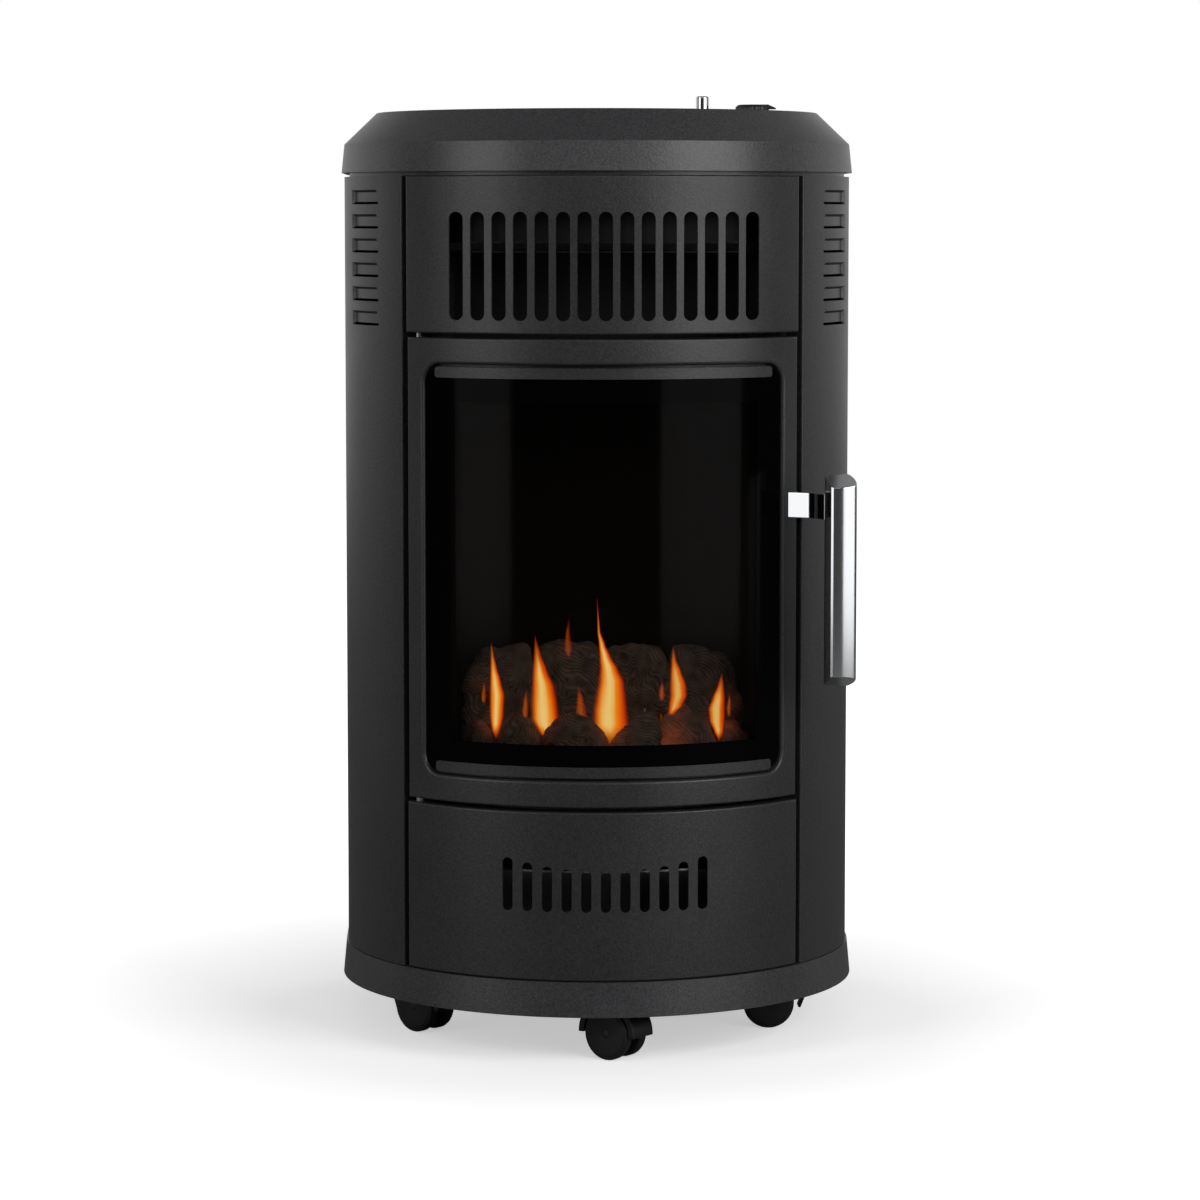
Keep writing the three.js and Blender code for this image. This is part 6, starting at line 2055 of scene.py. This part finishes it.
@dataclass(frozen=True)
class Coals(Part):
    """The moulded coals: a ridge of four along the back and six loose ones in front."""

    bed: float = 243.8 * MM
    rear_y: float = -97 * MM
    rear_pitch: float = 52 * MM
    rear_width: float = 70 * MM
    rear_depth: float = 23 * MM
    rear_heights: tuple[float, ...] = (80.6, 84.2, 83.0, 79.3)
    rear_fullness: float = 3.4
    front_radius: float = 172 * MM
    front_depth: float = 24 * MM
    front_fullness: float = 1.55
    # Angle, angle spanned, height in millimetres, and the strength of the red glow painted on it.
    front: tuple[tuple[float, float, float, float], ...] = (
        (-35.5, 11.5, 20, 0.0), (-22.9, 15.5, 30, 0.0), (-8.2, 18.5, 31, 0.0), (9.6, 18.5, 33, 0.0),
        (22.0, 20.5, 38, 0.9), (36.4, 11.0, 22, 0.0),
    )
    subdivisions: int = 6
    # The first coal's seed and the step to the next, at the back and in front.
    rear_seed: Point = (0.4, 1.7)
    front_seed: Point = (0.8, 2.1)
    seed_way: tuple[float, float, float] = (3.1, 1.7, -2.3)
    # The relief, in millimetres: two layers of lumps, and grooves that two more layers bend.
    lump: Bump = Bump(24 * MM, 7.0)
    knob: Bump = Bump(11 * MM, 3.0)
    bend: Bump = Bump(17 * MM, 3.4)
    quiver: Bump = Bump(8 * MM, 0.8)
    grain: float = 5.2 * MM
    grain_way: Point = (0.5, 0.55)
    grain_bend: float = 2.4
    groove: float = 0.6
    # The flame light painted on the coals as a glow: its strength and reach, and how far behind and
    # above a flame's foot it starts.
    painted_flame_light: float = 0.3
    flame_reach: float = 12 * MM
    flame_back: float = 6 * MM
    flame_up: float = 14
    # A red glow painted on a coal: its strength and reach, and how far left and up it is.
    painted_glow_strength: float = 0.4
    painted_glow_reach: float = 13 * MM
    painted_glow_side: float = 12 * MM
    # Size of the cracks that the painted glow shows in, what the painted flame light and the painted red
    # glow show outside them, how strongly the painted red glow shows in them, and the glow's green and
    # blue as shares of its red.
    crack: float = 6 * MM
    flame_floor: float = 0.3
    painted_glow_floor: float = 0.25
    painted_glow_crack: float = 0.9
    glow_tint: Point = (0.2, 0.06)

    def relief(self, place: Vector, seed: float) -> float:
        """Works out how far a coal's face stands out.

        Args:
            place: A place on the face.
            seed: The coal's seed.

        Returns:
            The distance in metres, negative where the face lies in.
        """
        shift = Vector([seed * way for way in self.seed_way])
        lumps = self.lump.at(place, shift) + self.knob.at(place, shift)
        warp = self.bend.at(place, -shift) + self.quiver.at(place, shift)
        across, up = self.grain_way
        lines = math.tau * (place.z * up + place.x * across) / self.grain
        groove = math.sin(lines + warp * self.grain_bend)
        return (lumps - max(0.0, groove) ** 2 * self.groove) * MM

    def painted_glow(self, place: Vector, stone: Stone) -> tuple[float, float, float]:
        """Works out the painted glow at a place: the flames' light, and the red glow painted on the coal.

        Args:
            place: A place on the face.
            stone: The coal.

        Returns:
            The red, green and blue of the glow.
        """
        heat = 0.0
        # The flames light nothing, so their light on the coals is painted here as a glow.
        for flame in Flames.tongues:
            foot = (flame.rows[0][0] + self.flame_up) * MM
            away = (place - Vector((flame.x, flame.y + self.flame_back, foot))).length
            heat += self.painted_flame_light * flame.heat * math.exp(-((away / self.flame_reach) ** 2))
        crack = 0.5 + 0.5 * noise.noise(place / self.crack + Vector((stone.seed, 0, 0)))
        side = Vector((stone.x - self.painted_glow_side, place.y, self.bed + self.painted_glow_side))
        near = math.exp(-(((place - side).length / self.painted_glow_reach) ** 2))
        own = stone.painted_glow * (self.painted_glow_floor + self.painted_glow_crack * crack) * near * self.painted_glow_strength
        heat = heat * (self.flame_floor + crack) + own
        return heat, heat * self.glow_tint[0], heat * self.glow_tint[1]

    def mesh(self, stone: Stone) -> bmesh.types.BMesh:
        """Makes a full, rough lump that stands on the bed.

        Args:
            stone: The coal.

        Returns:
            Its mesh, with its painted glow at each point.
        """
        bm = bmesh.new()
        bmesh.ops.create_icosphere(bm, subdivisions=self.subdivisions, radius=1.0)
        layer = bm.verts.layers.float_color.new("glow")
        turn = Matrix.Rotation(math.radians(stone.turn), 3, "Z")
        half = Vector((stone.width / 2, stone.depth / 2, stone.height))
        stand = Vector((stone.x, stone.y, self.bed))
        for vert in bm.verts:
            way = vert.co.normalized()
            size = sum(abs(c) ** stone.fullness for c in way) ** (-1 / stone.fullness)
            place = stand + turn @ Vector([w * size * h for w, h in zip(way, half)])
            if way.z > 0:
                place += (turn @ way) * self.relief(place, stone.seed)
            place.z = max(place.z, self.bed)
            vert.co = place
            vert[layer] = (*self.painted_glow(place, stone), 1.0)
        bmesh.ops.recalc_face_normals(bm, faces=bm.faces)
        return bm

    def make(self, name: str, bm: bmesh.types.BMesh, node: str) -> None:
        """Finishes one piece of coal."""
        finish_piece(bm, Make(name, Body.CABINET, self.palette.coal, Slot.COAL, (node,)))

    def build(self) -> None:
        """Makes the coals."""
        reach = self.rear_pitch * (len(self.rear_heights) - 1) / 2
        first, step = self.rear_seed
        ridge = [
            Stone(
                x=i * self.rear_pitch - reach, y=self.rear_y, width=self.rear_width,
                depth=self.rear_depth, height=height * MM, turn=0, seed=step * i + first,
                fullness=self.rear_fullness,
            )
            for i, height in enumerate(self.rear_heights)
        ]
        self.make("rear_coals_ridge", joined([self.mesh(stone) for stone in ridge]), "rear_coals")
        first, step = self.front_seed
        for i, (angle, span, height, painted_glow) in enumerate(self.front):
            turn = math.radians(angle)
            stone = Stone(
                x=self.front_radius * math.sin(turn),
                y=SIZE.centre_y - self.front_radius * math.cos(turn),
                width=math.radians(span) * self.front_radius, depth=self.front_depth, height=height * MM,
                turn=angle, seed=step * i + first, fullness=self.front_fullness, painted_glow=painted_glow,
            )
            self.make(f"front_coal_{i + 1}_stone", self.mesh(stone), f"front_coal_{i + 1}")


# -------------------- studio


@dataclass(frozen=True)
class SoftBox:
    """An upright soft light that faces the heater."""

    name: str
    azimuth: float
    distance: float
    width: float
    low: float
    high: float
    radiance: float


@dataclass(frozen=True)
class Studio:
    """The camera, the lights, the floor and the white surroundings."""

    focal_px: float = 3919.0
    picture_px: float = 1200.0
    distance: float = 3.247
    height: float = 0.669
    yaw: float = -1.97
    pitch: float = 5.087
    shift: tuple[float, float] = (0.0027, -0.03)
    boxes: tuple[SoftBox, ...] = (
        SoftBox("left_box_low", -54, 2.8, 1.35, 0.05, 0.75, 1.25),
        SoftBox("left_box", -54, 2.8, 1.35, 0.75, 2.4, 2.9),
        SoftBox("right_box_low", 46, 2.7, 1.9, 0.05, 0.75, 1.3),
        SoftBox("right_box", 46, 2.7, 1.9, 0.75, 2.4, 4.4),
        SoftBox("front_box", -2, 3.4, 2.6, 1.5, 2.7, 1.5),
    )
    top_size: float = 3.0
    top_height: float = 2.9
    top_y: float = -0.2
    top_radiance: float = 0.05
    # The room's light from ahead, from behind and from above.
    ahead: float = 0.035
    behind: float = 0.75
    above: float = 0.3
    # Where, on the way from ahead to behind and from level to straight up, its light changes.
    ahead_ends: Point = (0.06, 0.32)
    backdrop_ends: Point = (0.25, 0.6)
    floor_half: float = 6.0
    floor_white: float = 0.5
    # How far from the heater the floor's own white starts to rise, and where it is full.
    floor_fade: Point = (0.27, 0.8)
    # The floor's colour to the camera, as a light on the heater, and in its reflections.
    floor_seen: str = "#fafafa"
    floor_lit: str = "#686868"
    floor_mirrored: str = "#909090"
    sensor: float = 36.0
    view_end: float = 50.0

    def camera(self) -> None:
        """Places the camera as the photograph was taken."""
        data = bpy.data.cameras.new("camera")
        data.sensor_width = self.sensor
        data.lens = self.focal_px * self.sensor / self.picture_px
        data.shift_x, data.shift_y = self.shift
        data.clip_end = self.view_end
        camera = bpy.data.objects.new("camera", data)
        turn, tilt = math.radians(self.yaw), math.radians(self.pitch)
        back = Vector((math.sin(turn), -math.cos(turn), 0))
        camera.location = Vector((0, SIZE.centre_y, self.height)) + back * self.distance
        look = -back * math.cos(tilt) + Vector((0, 0, -math.sin(tilt)))
        camera.rotation_mode = "QUATERNION"
        camera.rotation_quaternion = look.to_track_quat("-Z", "Y")
        bpy.context.scene.collection.objects.link(camera)
        bpy.context.scene.camera = camera

    def light(self, name: str, place: Vector, way: Vector, size: Point, radiance: float) -> None:
        """Adds a soft box that shines one way.

        Args:
            name: Its name.
            place: Its middle.
            way: Where it shines.
            size: Its width and height.
            radiance: How bright it is.
        """
        data = bpy.data.lights.new(name, "AREA")
        data.shape = "RECTANGLE"
        data.size, data.size_y = size
        data.energy = radiance * math.pi * size[0] * size[1]
        lamp = bpy.data.objects.new(name, data)
        lamp.location = place
        lamp.rotation_mode = "QUATERNION"
        lamp.rotation_quaternion = way.to_track_quat("-Z", "Y")
        lamp.visible_camera = False
        bpy.context.scene.collection.objects.link(lamp)

    def lights(self) -> None:
        """The soft boxes at both sides and the one overhead."""
        for box in self.boxes:
            turn = math.radians(box.azimuth)
            out = Vector((math.sin(turn), -math.cos(turn), 0))
            place = out * box.distance + Vector((0, 0, (box.low + box.high) / 2))
            self.light(box.name, place, -out, (box.width, box.high - box.low), box.radiance)
        self.light(
            "top_box", Vector((0, self.top_y, self.top_height)), Vector((0, 0, -1)),
            (self.top_size, self.top_size), self.top_radiance,
        )

    def surroundings(self) -> None:
        """A white room: full white to the camera, and dim where the camera stands, as behind a lens."""
        world = bpy.data.worlds.new("white_room")
        bpy.context.scene.world = world
        world.use_nodes = True
        room = Nodes(world.node_tree)
        way = room.node("ShaderNodeTexCoord").outputs["Generated"]
        place = room.node("ShaderNodeSeparateXYZ", Vector=way)
        level = room.node(
            "ShaderNodeMapRange", {"interpolation_type": "SMOOTHSTEP"}, Value=place.outputs["Y"],
            From_Min=self.ahead_ends[0], From_Max=self.ahead_ends[1], To_Min=self.ahead,
            To_Max=self.behind,
        )
        # The backdrop ends above the heater.
        end = room.node(
            "ShaderNodeMapRange", {"interpolation_type": "SMOOTHSTEP"}, Value=place.outputs["Z"],
            From_Min=self.backdrop_ends[0], From_Max=self.backdrop_ends[1], To_Min=1.0, To_Max=self.above,
        )
        ended = room.node(
            "ShaderNodeMath", {"operation": "MULTIPLY"}, i0=level.outputs["Result"],
            i1=end.outputs["Result"],
        )
        lit = room.node("ShaderNodeBackground", Color=WHITE, Strength=ended.outputs[0])
        seen = room.node("ShaderNodeBackground", Color=WHITE, Strength=1.0)
        path = room.node("ShaderNodeLightPath")
        direct = room.node(
            "ShaderNodeMath", {"operation": "MAXIMUM"}, i0=path.outputs["Is Camera Ray"],
            i1=path.outputs["Is Transmission Ray"],
        )
        mix = room.node("ShaderNodeMixShader", i0=direct.outputs[0], i1=lit.outputs[0], i2=seen.outputs[0])
        room.node("ShaderNodeOutputWorld", Surface=mix.outputs[0])

    def floor(self) -> None:
        """A white floor that only shows the soft shadow under the heater."""
        bm = bmesh.new()
        bmesh.ops.create_grid(bm, x_segments=1, y_segments=1, size=self.floor_half)
        mesh = bpy.data.meshes.new("floor")
        bm.to_mesh(mesh)
        bm.free()
        floor = bpy.data.objects.new("floor", mesh)
        bpy.context.scene.collection.objects.link(floor)
        shader = Shader("white_floor")
        paint = shader.node("ShaderNodeBsdfDiffuse", Color=linear(self.floor_seen))
        # The floor throws little light back up at the heater, and more of its image.
        dull = shader.node("ShaderNodeBsdfDiffuse", Color=linear(self.floor_lit))
        seen = shader.node("ShaderNodeBsdfDiffuse", Color=linear(self.floor_mirrored))
        place = shader.node("ShaderNodeTexCoord").outputs["Object"]
        away = shader.node("ShaderNodeVectorMath", {"operation": "LENGTH"}, i0=place)
        rise = shader.node(
            "ShaderNodeMapRange", Value=away.outputs["Value"], From_Min=self.floor_fade[0],
            From_Max=self.floor_fade[1], To_Min=self.floor_white, To_Max=1.0,
        )
        white = shader.node("ShaderNodeEmission", Color=WHITE, Strength=rise.outputs["Result"])
        both = shader.node("ShaderNodeAddShader", i0=paint.outputs[0], i1=white.outputs[0])
        path = shader.node("ShaderNodeLightPath")
        glossy, camera = path.outputs["Is Glossy Ray"], path.outputs["Is Camera Ray"]
        mirrored = shader.node(
            "ShaderNodeMixShader", i0=glossy, i1=dull.outputs[0], i2=seen.outputs[0]
        )
        made = shader.node(
            "ShaderNodeMixShader", i0=camera, i1=mirrored.outputs[0], i2=both.outputs[0]
        )
        mesh.materials.append(shader.surface(made.outputs[0]))

    def build(self) -> None:
        """Makes the studio."""
        bpy.context.scene.view_settings.view_transform = "Standard"
        self.camera()
        self.surroundings()
        self.floor()
        self.lights()


# -------------------- assembly


def coat_cad_nodes(palette: Palette, record: dict[str, Any]) -> None:
    """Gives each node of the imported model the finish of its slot.

    Args:
        palette: The finishes.
        record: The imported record.
    """
    finishes = palette.by_slot()
    for part in record["subparts"]:
        node = frame["nodes"][part["node"]]
        node.data.materials.clear()
        node.data.materials.append(finishes[part["material_slot"]])


def main() -> None:
    """Builds the visual model and its studio."""
    logging.basicConfig(level=logging.INFO, format="%(name)s: %(message)s")
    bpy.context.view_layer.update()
    palette = Palette()
    coat_cad_nodes(palette, frame["record"])
    Studio().build()
    for part in (
        FrontPanels, SidePanels, LidAndBase, RearCover, Door, Handle, Controls, Castors, Coals, Flames,
    ):
        part(palette).build()


if __name__ == "__main__":
    main()
